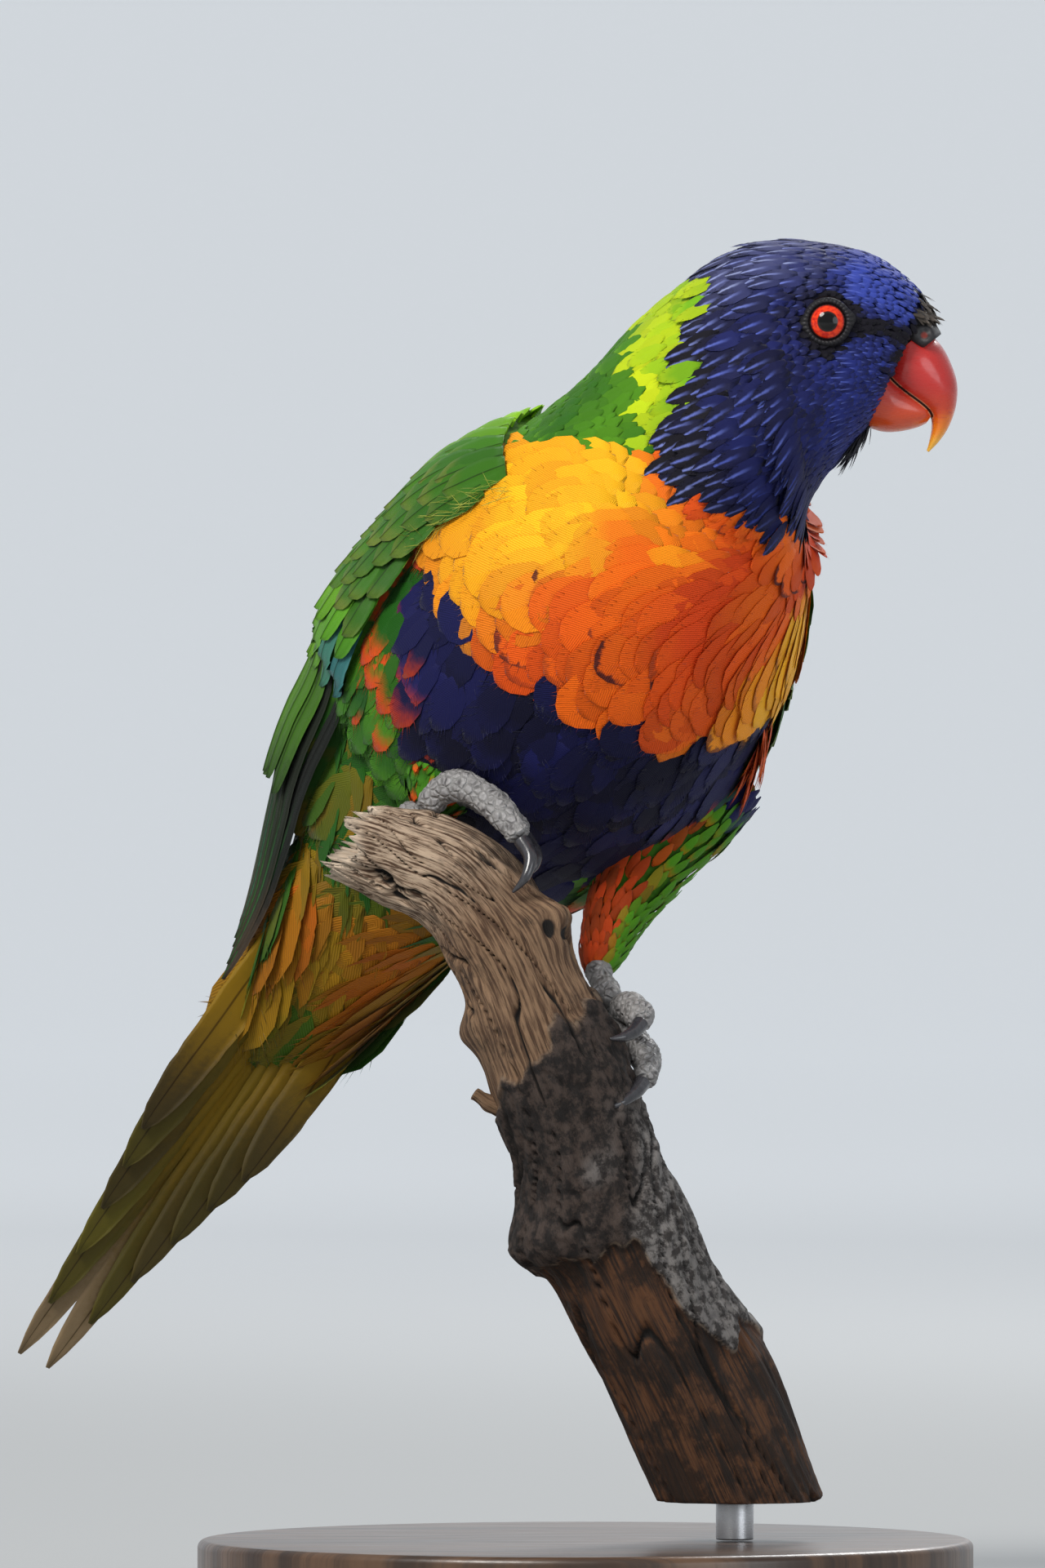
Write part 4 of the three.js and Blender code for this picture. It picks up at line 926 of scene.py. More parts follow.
# Long feathers: a curved vane over a surface, with a raised shaft and two webs, closed round its edge
def longVane(surface, outline, half, chance, steps=14, thick=0.42, roll=0.16, shaft=0.22, cup=0.25, lean=0.0):
    t = np.linspace(0, 1, steps) ** 0.92
    centre = surface(t, 0)
    along = unit(surface(t + 0.02, 0) - surface(t - 0.02, 0))
    up = unit(surface(t, 1) - centre)
    aside = unit(np.cross(along, up))
    up = unit(np.cross(aside, along))
    tilted = aside * math.cos(roll) + up * math.sin(roll)
    normal = np.cross(tilted, along)
    wide = half * np.interp(t, *zip(*outline))
    xs = np.array([-1, -0.72, -0.38, -0.09, 0, 0.09, 0.38, 0.72, 1])
    ragged = 1 + chance.uniform(-0.035, 0.035, (steps, len(xs)))
    rows = []
    for x, height in [(x, thick / 2 - cup * x * x + (shaft if x == 0 else 0)) for x in xs] + \
                     [(x, -thick / 2 - cup * x * x) for x in xs[::-1]]:
        if abs(x) == 1:
            height = -cup
        column = ragged[:, np.argmin(np.abs(xs - x))]
        share = (x - lean * (1 - x * x)) * wide * column
        rows.append(centre + tilted * share[:, None] + normal * height)
    across = np.concatenate([xs, xs[::-1]]) * 0.5 + 0.5
    shape = (steps, len(across))
    return np.stack(rows, 1), np.stack([np.broadcast_to(across, shape), np.broadcast_to(t[:, None], shape)], -1)


longOutline = [(0, 0.6), (0.2, 0.9), (0.5, 1), (0.8, 0.86), (0.92, 0.6), (0.98, 0.3), (1, 0.1)]
shortOutline = [(0, 0.6), (0.3, 0.95), (0.6, 1), (0.82, 0.86), (0.94, 0.55), (1, 0.12)]


# Long feathers of one piece, each with its own cell of the bake map: upper side on the left, underside on the right
class FeatherSet:
    def __init__(self, cells):
        self.points, self.uv, self.atlas, self.faces = [], [], [], []
        self.marks = {"ground": [], "edge": [], "streak": [], "mood": []}
        self.cells, self.count, self.used = cells, 0, 0

    def add(self, grid, uv, *marks):
        rings, count = grid.shape[:2]
        self.faces += ringFaces(rings, count, start=self.used)
        self.used += rings * count
        self.points.append(grid.reshape(-1, 3))
        self.uv.append(uv.reshape(-1, 2))
        row, column = divmod(self.count, self.cells)
        under = np.zeros((rings, count))
        under[:, count // 2:] = 0.5
        across = (column + 0.04 + 0.44 * uv[..., 0] + under * 0.94) / self.cells
        self.atlas.append(np.stack([across, (row + 0.04 + 0.92 * uv[..., 1]) / self.cells], -1).reshape(-1, 2))
        for rows, value in zip(self.marks.values(), marks):
            rows.append(np.broadcast_to(np.asarray(value, float), (rings * count, 3)))
        self.count += 1

    def make(self, name, slot, replaces):
        piece = makePiece(name, np.concatenate(self.points), self.faces, finishes["vanes"],
                          {"vane": np.concatenate(self.uv), "OFBake": np.concatenate(self.atlas)},
                          {key: np.concatenate(value) for key, value in self.marks.items()}, slot, replaces)
        outward(piece)
        print(name, self.count, "feathers", len(piece.data.polygons) * 2, "triangles")


# Wing tiers from the shoulder to the tip: number, shares of the width, root and tip distances at the back
# and at the front edge, half width, and how far the tip keeps the root's height
wingPlan = {
    "lesser": {"rows": 8, "count": 8, "from": 60, "step": 4.6, "long": 11.5, "half": 3.7},
    "tiers": [
        {"kind": "median", "count": 9, "share": (0.10, 0.96), "roots": (92, 90), "tips": (114, 110), "half": 3.1,
         "held": 0.5},
        {"kind": "greater", "count": 10, "share": (0.08, 0.97), "roots": (106, 102), "tips": (134, 128), "half": 3.0,
         "held": 0.5},
        {"kind": "secondary", "count": 9, "share": (0.05, 0.84), "roots": (121, 117), "tips": (155, 148), "half": 3.3,
         "held": 0.6},
        {"kind": "primary", "count": 10, "share": (0.28, 0.97), "roots": (127, 123), "tips": (160, 187), "half": 2.5,
         "held": 0.1},
    ],
    "scapulars": {"rows": 6, "from": 60, "to": 98, "long": 26, "half": 5.0},
    "sunk": 0.7, "lift": 0.9,
}
wingColours = {
    "lime": (0.30, 0.61, 0.018), "green": (0.075, 0.27, 0.012), "deep": (0.020, 0.085, 0.009),
    "olive": (0.060, 0.10, 0.020), "fringe": (0.19, 0.22, 0.035), "bladeGreen": (0.045, 0.18, 0.035),
    "teal": (0.035, 0.16, 0.16), "black": (0.012, 0.014, 0.012), "brown": (0.11, 0.07, 0.045),
}


def buildWing(side, name):
    c = SimpleNamespace(**{key: np.array(value) for key, value in wingColours.items()})
    chance = np.random.default_rng(11 if side > 0 else 12)
    feathers = FeatherSet(12)

    def grow(root, tip, half, held, outline, roll, colours, steps=14, lean=0.0, high=0.0):
        rootHigh, tipHigh = wingHeight(root[0], root[1]), wingHeight(tip[0], tip[1])
        tipHigh = tipHigh + (rootHigh - tipHigh) * held + wingPlan["lift"]

        def surface(t, above):
            return wingPoint(side, root[0] + (tip[0] - root[0]) * t, root[1] + (tip[1] - root[1]) * t,
                             rootHigh - wingPlan["sunk"] + (tipHigh - rootHigh + wingPlan["sunk"]) * t + above + high)

        grid, uv = longVane(surface, outline, half, chance, steps=steps, roll=side * roll, lean=side * lean)
        feathers.add(grid, uv, *colours)

    lesser = wingPlan["lesser"]
    for row in range(lesser["rows"]):
        s = lesser["from"] + row * lesser["step"]
        for i in range(lesser["count"]):
            share = (i + 0.5 * (row % 2)) / (lesser["count"] - 0.5) * 0.9 + 0.05 + chance.uniform(-0.015, 0.015)
            r = chance.random(3)
            ground = blend(c.green, c.lime, within(0.95 - 2.0 * share + 0.5 * r[0]))
            ground = blend(ground, c.deep, np.clip(1.3 * (share - 0.36) + 0.5 * (r[2] - 0.4), 0, 0.8))
            edge = blend(ground, c.fringe, 0.25 + 0.6 * r[1])
            end = s + lesser["long"] * chance.uniform(0.92, 1.08)
            grow((s, share), (end, min(share + 0.02, 0.98)), lesser["half"], 0.5, shortOutline, 0.14,
                 (ground, edge, c.lime, (0, 0.5, r[2])), steps=9)
    for tier in wingPlan["tiers"]:
        for i in range(tier["count"]):
            across = i / (tier["count"] - 1)
            share = tier["share"][0] + (tier["share"][1] - tier["share"][0]) * across
            rootS = tier["roots"][0] + (tier["roots"][1] - tier["roots"][0]) * across + chance.uniform(-0.8, 0.8)
            tipS = tier["tips"][0] + (tier["tips"][1] - tier["tips"][0]) * across + chance.uniform(-1.2, 1.2)
            r = chance.random(3)
            ground = blend(c.lime, c.green, within(across * 0.9 + 0.3 * r[0]))
            edge, streak, mood = blend(ground, c.deep, 0.15 + 0.35 * r[1]), c.deep, (0.35, 0.6, r[2])
            if tier["kind"] == "greater":
                ground = blend(ground, c.teal, smooth(0.72, 0.95, across))
                edge = blend(ground, c.lime, 0.3 * (1 - across))
            if tier["kind"] == "secondary":
                ground = blend(blend(c.lime, c.green, 0.45 + 0.3 * r[0]), c.deep, 0.8 * across)
                edge = blend(ground, c.black, 0.55)
            if tier["kind"] == "primary":
                ground = blend(c.olive, c.black, 0.4 + 0.6 * across)
                edge = blend(c.black, c.brown, 0.6)
                streak, mood = blend(c.bladeGreen, c.teal, 0.5 * r[0]), (0.9, 0.4, r[2])
            outline = longOutline if tier["kind"] in ("secondary", "primary") else shortOutline
            grow((rootS, share), (tipS, min(share + 0.02, 0.97)), tier["half"], tier["held"], outline, 0.16,
                 (ground, edge, streak, mood), steps=20 if outline is longOutline else 14,
                 lean=0.25 if tier["kind"] == "primary" else 0.0)
    plan = wingPlan["scapulars"]
    for row in range(plan["rows"]):
        down = row / (plan["rows"] - 1)
        for lane in range(2):
            s = plan["from"] + (plan["to"] - plan["from"]) * down + 3 * lane
            r = chance.random(3)
            ground = blend(c.lime, c.green, 0.3 * r[0] + 0.4 * lane)
            edge = blend(ground, c.deep, 0.3 + 0.3 * r[1])
            grow((s, 0.10 + 0.09 * lane), (s + plan["long"], 0.05 - 0.02 * down + 0.08 * lane), plan["half"], 0.5,
                 shortOutline, -0.12, (ground, edge, ground, (0, 0.5, r[2])), high=0.25)
    feathers.make(name + "_feathers", "wing_plumage", (name,))


buildWing(1, "wing_right")
buildWing(-1, "wing_left")

# Tail: pairs of feathers from the long middle pair outwards, each pair a little lower
tail = {
    "root": (-37.4, 36.5, 135.4), "tip": (-104.1, 76, 43.4), "dorsal": (-0.1, 0.85, 0.52),
    "pairs": [(121.5, 3.2, 4.2), (109, 4.6, 4.3), (97, 6.2, 4.4), (86, 7.9, 4.5), (76, 9.6, 4.6), (67, 11.4, 4.4)],
    "step": 0.85, "start": 2,
    "olive": (0.10, 0.085, 0.010), "yellow": (0.42, 0.225, 0.008), "brown": (0.055, 0.038, 0.014),
    "pale": (0.22, 0.155, 0.085), "inner": 1.2, "apart": 1.7,
}


def buildTail():
    root, tip = np.array(tail["root"], float), np.array(tail["tip"], float)
    axis = unit(tip - root)
    dorsal = np.array(tail["dorsal"], float)
    dorsal = unit(dorsal - axis * dorsal.dot(axis))
    right = unit(np.cross(axis, dorsal))
    chance = np.random.default_rng(17)
    feathers = FeatherSet(6)
    for i, (end, aside, half) in enumerate(tail["pairs"]):
        for side in (-1, 1):
            def surface(t, high):
                t = np.asarray(t, float)
                along = tail["start"] + (end - tail["start"]) * t
                inner = tail["inner"] + tail["apart"] * i
                out = side * (inner + (aside - tail["inner"] - tail["apart"] * i) * np.maximum(t, 0) ** 0.8)
                drop = high - tail["step"] * i * np.minimum(1, 0.4 + t)
                return root + axis * along[..., None] + right * np.asarray(out)[..., None] + dorsal * drop[..., None]

            grid, uv = longVane(surface, longOutline, half, chance, steps=26, roll=0, thick=0.5, cup=0.2,
                                lean=-0.2 * side)
            r = chance.random(3)
            ground = blend(tail["yellow"], tail["olive"], np.array(0.3 + 0.5 * r[0]))
            ground = blend(ground, tail["brown"], smooth(0.45, 0.95, uv[..., 1].reshape(-1)) * 0.8)
            edge = tail["pale"] if i == 0 else blend(tail["brown"], tail["olive"], np.array(r[1]))
            feathers.add(grid, uv, ground, edge, tail["brown"], (0.15, 0.6, r[2]))
    feathers.make("tail_feathers", "tail_plumage", ("tail",))


buildTail()
print("wings and tail made")

# Bill: upper edge, lower edge and half width at each station, in the head's midplane
bill = {
    "mid": -17,
    "upper": [(62.6, 236, 53.8, 228.9, 6.6), (65.5, 233.2, 55.4, 226, 7.1), (67.3, 230, 58.4, 223.4, 6.5),
              (68.5, 226.2, 61.5, 221.5, 5.3), (68.4, 222.3, 63.5, 220, 3.9), (67.2, 218.5, 63.8, 218, 2.5),
              (65.4, 215.6, 63.4, 215.5, 1.4), (63.3, 213.4, 62.9, 213.7, 0.3)],
    "lower": [(54.9, 230.2, 51.6, 218.2, 6.5), (57.9, 227.0, 54.6, 217.2, 6.3), (60.9, 224.6, 57.8, 217.2, 5.4),
              (63.2, 222.6, 61, 217.9, 3.9), (64.4, 221.0, 62.8, 218.7, 2.2)],
    "cere": [(58.9, 239.4, 54.3, 234.6, 4.8), (61.6, 238.4, 56.6, 233.2, 6.3), (64.2, 237.3, 59.0, 232.6, 7.0),
             (65.3, 235.9, 60.6, 231.8, 7.1), (65.6, 235.2, 61.2, 231.7, 6.6)],
    "gape": 0.9, "nostril": (62.3, 6.1, 234.8), "nostrilRadius": 1.35, "nostrilDeep": 1.4, "nostrilLip": 0.3,
}


def billPart(stations, steps, around):
    rows = catmull(stations, np.linspace(0, len(stations) - 1, steps))
    a = turnsOf(around)
    share = 0.5 + 0.5 * np.cos(a)
    x = rows[:, 2:3] + (rows[:, 0:1] - rows[:, 2:3]) * share
    z = rows[:, 3:4] + (rows[:, 1:2] - rows[:, 3:4]) * share
    y = bill["mid"] + rows[:, 4:5] * np.sin(a)
    return np.stack([x, y, z], -1)


# Deep red, orange and then yellow to the tip, worn pale at the cutting edges, with painted shade where the two halves
# meet at the gape
def hornFinish():
    m = Shade("bill horn")
    x, _, z = m.parts(m.place())
    rim, _, _ = m.parts(m.attribute("rim"))
    grain = m.noise(m.place(size=(0.5, 1, 2.2), turn=(0, 0.7, 0)), 900, 5)
    fade = m.stray(z, grain, 0.002)
    tipward = m.minus(fade, m.times(m.minus(x, 0.060), 0.35))
    worn = m.times(m.step(rim, 0.30, 0.48), m.step(grain, 0.3, 0.5))
    colour = m.mix(m.step(fade, 0.2170, 0.2265), (0.66, 0.075, 0.012), (0.50, 0.022, 0.018))
    # The last layer is painted shade: near-black where the two halves of the bill come closest at the gape
    colour = m.over(colour, (m.step(tipward, 0.2192, 0.2160), (0.82, 0.20, 0.012)),
                    (m.step(tipward, 0.2163, 0.2125), (0.95, 0.50, 0.05)),
                    (m.step(grain, 0.55, 0.8, 0, 0.3), (0.30, 0.018, 0.015)),
                    (m.times(worn, 0.6), (0.70, 0.42, 0.22)), (m.step(rim, 0.55, 0.72), (0.030, 0.008, 0.006)))
    m.bump(m.noise(m.place(size=(1, 1, 0.35)), 1500, 4), 0.12, 0.0002)
    return m.finish(colour, m.step(grain, 0.3, 0.7, 0.22, 0.36), Coat_Weight=0.35, Coat_Roughness=0.12)


def cereFinish():
    m = Shade("cere skin")
    grain = m.noise(m.place(), 1600, 4)
    m.bump(grain, 0.5, 0.0002)
    nx, _, nz = bill["nostril"]
    x, _, z = m.parts(m.place(centre=(nx * mm, bill["mid"] * mm, nz * mm)))
    inner = m.step(m.hypot(x, z), 0.85 * mm, 0.35 * mm)
    colour = m.mix(grain, (0.006, 0.006, 0.007), (0.036, 0.034, 0.037))
    return m.finish(m.mix(inner, colour, (0.14, 0.018, 0.012)), 0.5, Specular_IOR_Level=0.35)


finishes["horn"], finishes["cere"] = hornFinish(), cereFinish()


def buildBill():
    shells = {"upper": billPart(bill["upper"], 120, 96), "lower": billPart(bill["lower"], 80, 88)}
    solids = {part: BVHTree.FromPolygons(grid.reshape(-1, 3).tolist(), ringFaces(*grid.shape[:2]))
              for part, grid in shells.items()}
    for part, other in (("upper", "lower"), ("lower", "upper")):
        near = [solids[other].find_nearest(p)[3] for p in shells[part].reshape(-1, 3).tolist()]
        # rim: closeness to the other half, which the horn finish paints pale as wear and, closest in, dark as painted
        # shade
        rim = np.array([max(0.0, 1 - away / bill["gape"]) for away in near])
        makeBody("bill_" + part + "_horn", shells[part], finishes["horn"], "bill_horn", ("bill_" + part,),
                 colours={"rim": np.repeat(rim[:, None], 3, 1)})
    grid, radius = billPart(bill["cere"], 28, 72), bill["nostrilRadius"]
    nx, ny, nz = bill["nostril"]
    for side in (-1, 1):
        away = np.linalg.norm(grid - np.array([nx, bill["mid"] + side * ny, nz]), axis=-1)
        pull = bill["nostrilDeep"] * np.exp(-(away / (radius * 0.8)) ** 4)
        lip = bill["nostrilLip"] * np.exp(-((away - radius * 1.5) / 0.5) ** 2)
        grid = grid + np.array([0, side, 0]) * (lip - pull)[..., None]
    makeBody("cere_band", grid, finishes["cere"], "cere_skin", ("cere",))


buildBill()

# Eyes: a ball with a shallow cornea, and a beaded ring of bare lid
eye = {"x": 44.3, "z": 237.0, "side": 12.4, "radius": 4.9, "cornea": 0.35, "iris": 3.05, "ring": 1.9, "pupil": 1.55,
       "lidRing": 3.4, "lidTube": 0.465, "lidWide": 1.15, "beads": 34, "corner": 0.8}


def eyeFinish(name, side):
    m = Shade(name)
    place = m.place(centre=(eye["x"] * mm, (bill["mid"] + side * eye["side"]) * mm, eye["z"] * mm))
    x, _, z = m.parts(place)
    away = m.hypot(x, z)
    fleck = m.noise(place, 1500, 4)

    def inside(ring, low, high):
        return m.step(away, (eye[ring] + low) * mm, (eye[ring] + high) * mm)

    iris = m.mix(m.step(fleck, 0.35, 0.65), (0.50, 0.010, 0.005), (0.82, 0.050, 0.006))
    colour = m.mix(inside("ring", -0.12, 0.12), (0.014, 0.010, 0.009), iris)
    colour = m.mix(inside("pupil", -0.1, 0.1), (0.002, 0.002, 0.002), colour)
    colour = m.mix(inside("iris", -0.25, 0.1), colour, (0.01, 0.006, 0.006))
    return m.finish(colour, 0.09, Specular_IOR_Level=0.35)


def lidFinish():
    m = Shade("bare lid")
    grain = m.noise(m.place(), 2500, 3)
    m.bump(grain, 0.4, 0.0001)
    return m.finish(m.mix(grain, (0.003, 0.003, 0.004), (0.022, 0.020, 0.023)), 0.5, Specular_IOR_Level=0.3)


finishes["lid"] = lidFinish()


def buildEye(name, side):
    centre = np.array([eye["x"], bill["mid"] + side * eye["side"], eye["z"]])
    u, v = stepsAndTurns(48, 64, end=np.pi)
    reach = eye["radius"] + eye["cornea"] * np.exp(-(u / 0.55) ** 4)
    grid = np.stack([np.sin(u) * np.cos(v), side * np.cos(u), np.sin(u) * np.sin(v)], -1) * reach[..., None] + centre
    makeBody(name + "_ball", grid[1:-1], eyeFinish(name + " colours", side), "eye", (name,))
    # Lids: a low beaded ring that opens into two corners
    steps, around = eye["beads"] * 8, 14
    turn, tubeTurn = gridOf(turnsOf(steps), turnsOf(around))
    corner = eye["corner"] * sum(np.exp(-((turn - at) / wide) ** 2)
                                 for at, wide in ((0.15, 0.28), (np.pi + 0.1, 0.25), (2 * np.pi + 0.15, 0.28)))
    half = eye["lidWide"] * 0.5 + 0.5 * corner
    across, top = np.cos(tubeTurn) * half + half, within(np.sin(tubeTurn))
    beads = 0.24 * np.abs(np.sin(eye["beads"] * turn / 2)) ** 0.7 * top
    beads = beads + 0.13 * np.abs(np.cos(tubeTurn * 1.5 + 0.8)) * top
    rise = math.sqrt(eye["radius"] ** 2 - (eye["lidRing"] + 0.15) ** 2)
    high = rise + np.sin(tubeTurn) * eye["lidTube"] + beads - 0.42 * across
    ring = eye["lidRing"] + across
    grid = centre + np.stack([ring * np.cos(turn), side * high, ring * np.sin(turn)], -1)
    faces = ringFaces(steps, around, caps=False)
    last = (steps - 1) * around
    faces += [(last + j, last + (j + 1) % around, (j + 1) % around, j) for j in range(around)]
    outward(makePiece(name + "_lids", grid.reshape(-1, 3), faces, finishes["lid"], slot="eye"))


buildEye("eye_right", -1)
buildEye("eye_left", 1)
print("bill and eyes made")

# Feet: tubes with swollen joints and rows of scutes, pebbled all over, and long dark claws
feet = {
    "right": {
        "tarsus": [(-28.5, -5, 149.9), (-28.9, -8, 148.5), (-29, -11, 147.6)],
        "outer_front": ([(-29.2, -12, 147.6), (-26.8, -13.5, 150.9), (-22.5, -16, 151.8), (-17.7, -19, 149.1),
                         (-13.8, -22.5, 144.9), (-12, -24, 142.2)],
                        [(-11.7, -24.5, 141.6), (-10.2, -27, 138.6), (-11.2, -28.5, 134.9), (-13.5, -27.8, 132.2)]),
        "inner_front": ([(-28, -7, 148.2), (-24.5, -8, 150.6), (-20, -10.5, 150.3), (-15.4, -13.5, 147),
                         (-11.7, -17, 142.8)],
                        [(-11.2, -17.5, 142.2), (-9.3, -20.5, 139.2), (-9.4, -22.5, 137.1), (-10.5, -23.5, 135.5)]),
        "outer_back": ([(-29.8, -10, 147.3), (-33.1, -8, 145.2), (-34.7, -6.5, 141.6), (-34, -6, 137.6)],
                       [(-34, -6, 137.3), (-33.6, -6.5, 134), (-32.4, -9, 131), (-31, -12.5, 129.2)]),
        "inner_back": ([(-28.3, -5, 146.7), (-29.1, -5, 142.8), (-28.3, -5, 138.5), (-26.8, -6, 134.3)],
                       [(-26.8, -6, 134), (-26, -7, 130.7), (-25.6, -9.5, 128), (-26, -13.5, 126.2)]),
    },
    "left": {
        "tarsus": [(2, 1, 119.1), (3.2, -3.5, 115.1), (5.3, -8, 111.3)],
        "inner_front": ([(5.8, -10, 110.8), (8.2, -14, 110.8), (9.9, -19, 109.5), (10, -22, 108.2)],
                        [(10, -22.5, 107.9), (8.8, -25, 106.5), (6.8, -27.5, 105.6), (4.4, -29, 105.3)]),
        "outer_front": ([(5.6, -9, 109.9), (7.7, -11, 106.3), (10.2, -14, 103.3), (11.4, -18, 100), (10.4, -22, 97.3)],
                        [(10.3, -22.5, 97), (9.1, -25.5, 95.4), (6.6, -28.5, 93.6), (3.8, -30, 92.5)]),
        "inner_back": ([(4.4, -7, 111.9), (1.6, -5, 111.9), (-1.7, -4.5, 111), (-5, -6, 109.8)],
                       [(-5.3, -6, 109.7), (-7.4, -7, 108.6), (-9.4, -9, 107.1), (-10.8, -11.5, 105.7)]),
        "outer_back": ([(4.7, -6, 109.8), (3.2, -3.5, 106.1), (1, -4, 102.5), (-1.7, -6, 99.8)],
                       [(-2, -6, 99.5), (-3.8, -7.5, 97.7), (-5.6, -9.5, 96.3), (-7.4, -12, 95.4)]),
    },
    "toeRadii": [2.6, 2.9, 2.9, 2.7, 2.1], "clawRadii": [1.6, 1.3, 0.9, 0.2], "tarsusRadii": [2.4, 2.4, 2.9],
    "pebbles": 640, "pebbleHigh": 0.17,
}


# Pale pebbles with dark gaps between them
def footFinish():
    m = Shade("foot skin")
    place = m.place()
    cell, tone = m.cells(place, feet["pebbles"]), m.cells(place, feet["pebbles"], "F1")
    grain = m.noise(place, 2200, 3)
    colour = m.mix(m.step(cell, 0.0, 0.22), (0.035, 0.032, 0.032), (0.26, 0.25, 0.25))
    colour = m.over(colour, (m.step(tone, 0.1, 0.7, 0, 0.5), (0.42, 0.41, 0.40)),
                    (m.step(grain, 0.45, 0.75, 0, 0.4), (0.12, 0.11, 0.11)))
    m.bump(m.plus(m.step(cell, 0.0, 0.25), m.times(grain, 0.25)), 0.8, 0.00035)
    return m.finish(colour, 0.5, Specular_IOR_Level=0.4)


def clawFinish():
    m = Shade("claw horn")
    grain = m.noise(m.place(size=(1, 1, 0.4)), 1400, 4)
    m.bump(grain, 0.15, 0.0002)
    return m.finish(m.mix(grain, (0.008, 0.008, 0.010), (0.06, 0.058, 0.065)), 0.24, Coat_Weight=0.4,
                    Coat_Roughness=0.1)


finishes["foot"], finishes["claw"] = footFinish(), clawFinish()


# A tube with its own swelling and pebbles. Domed ends shrink over about their own radius.
def tubePiece(name, path, radii, steps, around, material, slot, replaces, swell=None):
    tube = Tube(path, radii)
    t, turn = stepsAndTurns(steps, around)
    if not swell:
        makeBody(name, tube.point(t, turn), material, slot, replaces)
        return
    out = swell(t, turn)
    cells = [noise.voronoi(Vector(p) * mm * feet["pebbles"])[0] for p in tube.point(t, turn, out).reshape(-1, 3)]
    gap = np.array([cell[1] - cell[0] for cell in cells]).reshape(t.shape)
    grid = tube.point(t, turn, out + feet["pebbleHigh"] * (smooth(0, 0.35, gap) - 0.6))
    t = t[:, 0]
    centre = tube.read(tube.centre, t)[:, None]
    length = np.linalg.norm(np.diff(tube.centre, axis=0), axis=1).sum()
    end = np.minimum(t, 1 - t) * length / (0.9 * np.interp(t, tube.t, tube.radius))
    shrink = np.sqrt(np.clip(1 - (1 - np.minimum(end, 1)) ** 2, 0.04, 1))
    makeBody(name, centre + (grid - centre) * shrink[:, None, None], material, slot, replaces)


def toeSwell(count, phase):
    def swell(t, turn):
        joints = 0.22 * np.cos(2 * np.pi * t * 3 + phase)
        scutes = 0.16 * np.abs(np.sin(np.pi * t * count)) ** 0.6 * (0.4 + 0.6 * within(np.cos(turn)))
        pads = 0.35 * within(-np.cos(turn)) * np.abs(np.sin(np.pi * t * 3))
        return joints + scutes + pads - 0.15
    return swell


for side in ("right", "left"):
    foot = feet[side]
    tubePiece("shank_" + side, foot["tarsus"], feet["tarsusRadii"], 60, 56, finishes["foot"], "foot_skin",
              ("tarsus_" + side,), toeSwell(7, 1.0))
    for number, (toe, (path, claw)) in enumerate((k, v) for k, v in foot.items() if k != "tarsus"):
        tubePiece("foot_toe_%s_%s" % (side, toe), path, feet["toeRadii"], 130, 56, finishes["foot"], "foot_skin",
                  ("toe_%s_%s" % (side, toe),), toeSwell(13, number))
        tubePiece("foot_claw_%s_%s" % (side, toe), claw, feet["clawRadii"], 40, 24, finishes["claw"], "claw_horn",
                  ("claw_%s_%s" % (side, toe),))
print("feet made")

# Branch: broken at the top, sawn at the foot
branch = {
    "path": [(-40.6, -15, 140.6), (-34, -16, 138.4), (-25.2, -17.5, 134.4), (-18.4, -19, 127), (-12.6, -20.5, 115.8),
             (-7.4, -21, 102), (-1.4, -19, 87), (3.2, -16.5, 73.4), (10.8, -14, 56.6), (19.2, -11, 40),
             (30.6, -8, 14.6)],
    "radii": [7.4, 9, 9.4, 10.2, 10.6, 11.1, 11.6, 13.9, 13.6, 13.9, 14.2],
    # Share of the length, angle, height or depth, spread along and spread round
    "lumps": [(0.44, 268, 3, 0.028, 30), (0.352, 62, 4.6, 0.034, 27), (0.52, 80, 2, 0.1, 50), (0.2, 90, 1.6, 0.09, 40),
              (0.70, 285, 3.6, 0.030, 46), (0.03, 20, 2.2, 0.05, 40), (0.9, 100, 2.6, 0.05, 40)],
    "hollows": [(0.360, 50, 2.2, 0.016, 7), (0.372, 66, 1.6, 0.010, 9), (0.085, 330, 2.4, 0.034, 8),
                (0.135, 306, 2.0, 0.026, 7)],
    # Angle, start, end, depth and width of each split, and angle, width and length of each prong
    "splits": [(76, 0.36, 0.56, 2.4, 3.0), (22, 0.40, 0.53, 1.4, 2.0), (318, 0.06, 0.20, 1.6, 2.6),
               (350, 0.15, 0.30, 1.2, 2.0)],
    "prongs": [(215, 30, 7.5), (150, 22, 5.0), (300, 26, 5.5), (20, 16, 2.5)],
    "barkHigh": 1.1, "stub": [(-12.5, -20.5, 91.5), (-17, -21, 92.8), (-20.6, -21.4, 95.2)],
    "stubRadii": [2.0, 1.5, 1.1], "foot": 19.5, "steps": 330, "around": 170, "fibre": 0.55, "crack": 1.5,
    "crackWide": 0.045, "grainLong": 130 / 11,
}
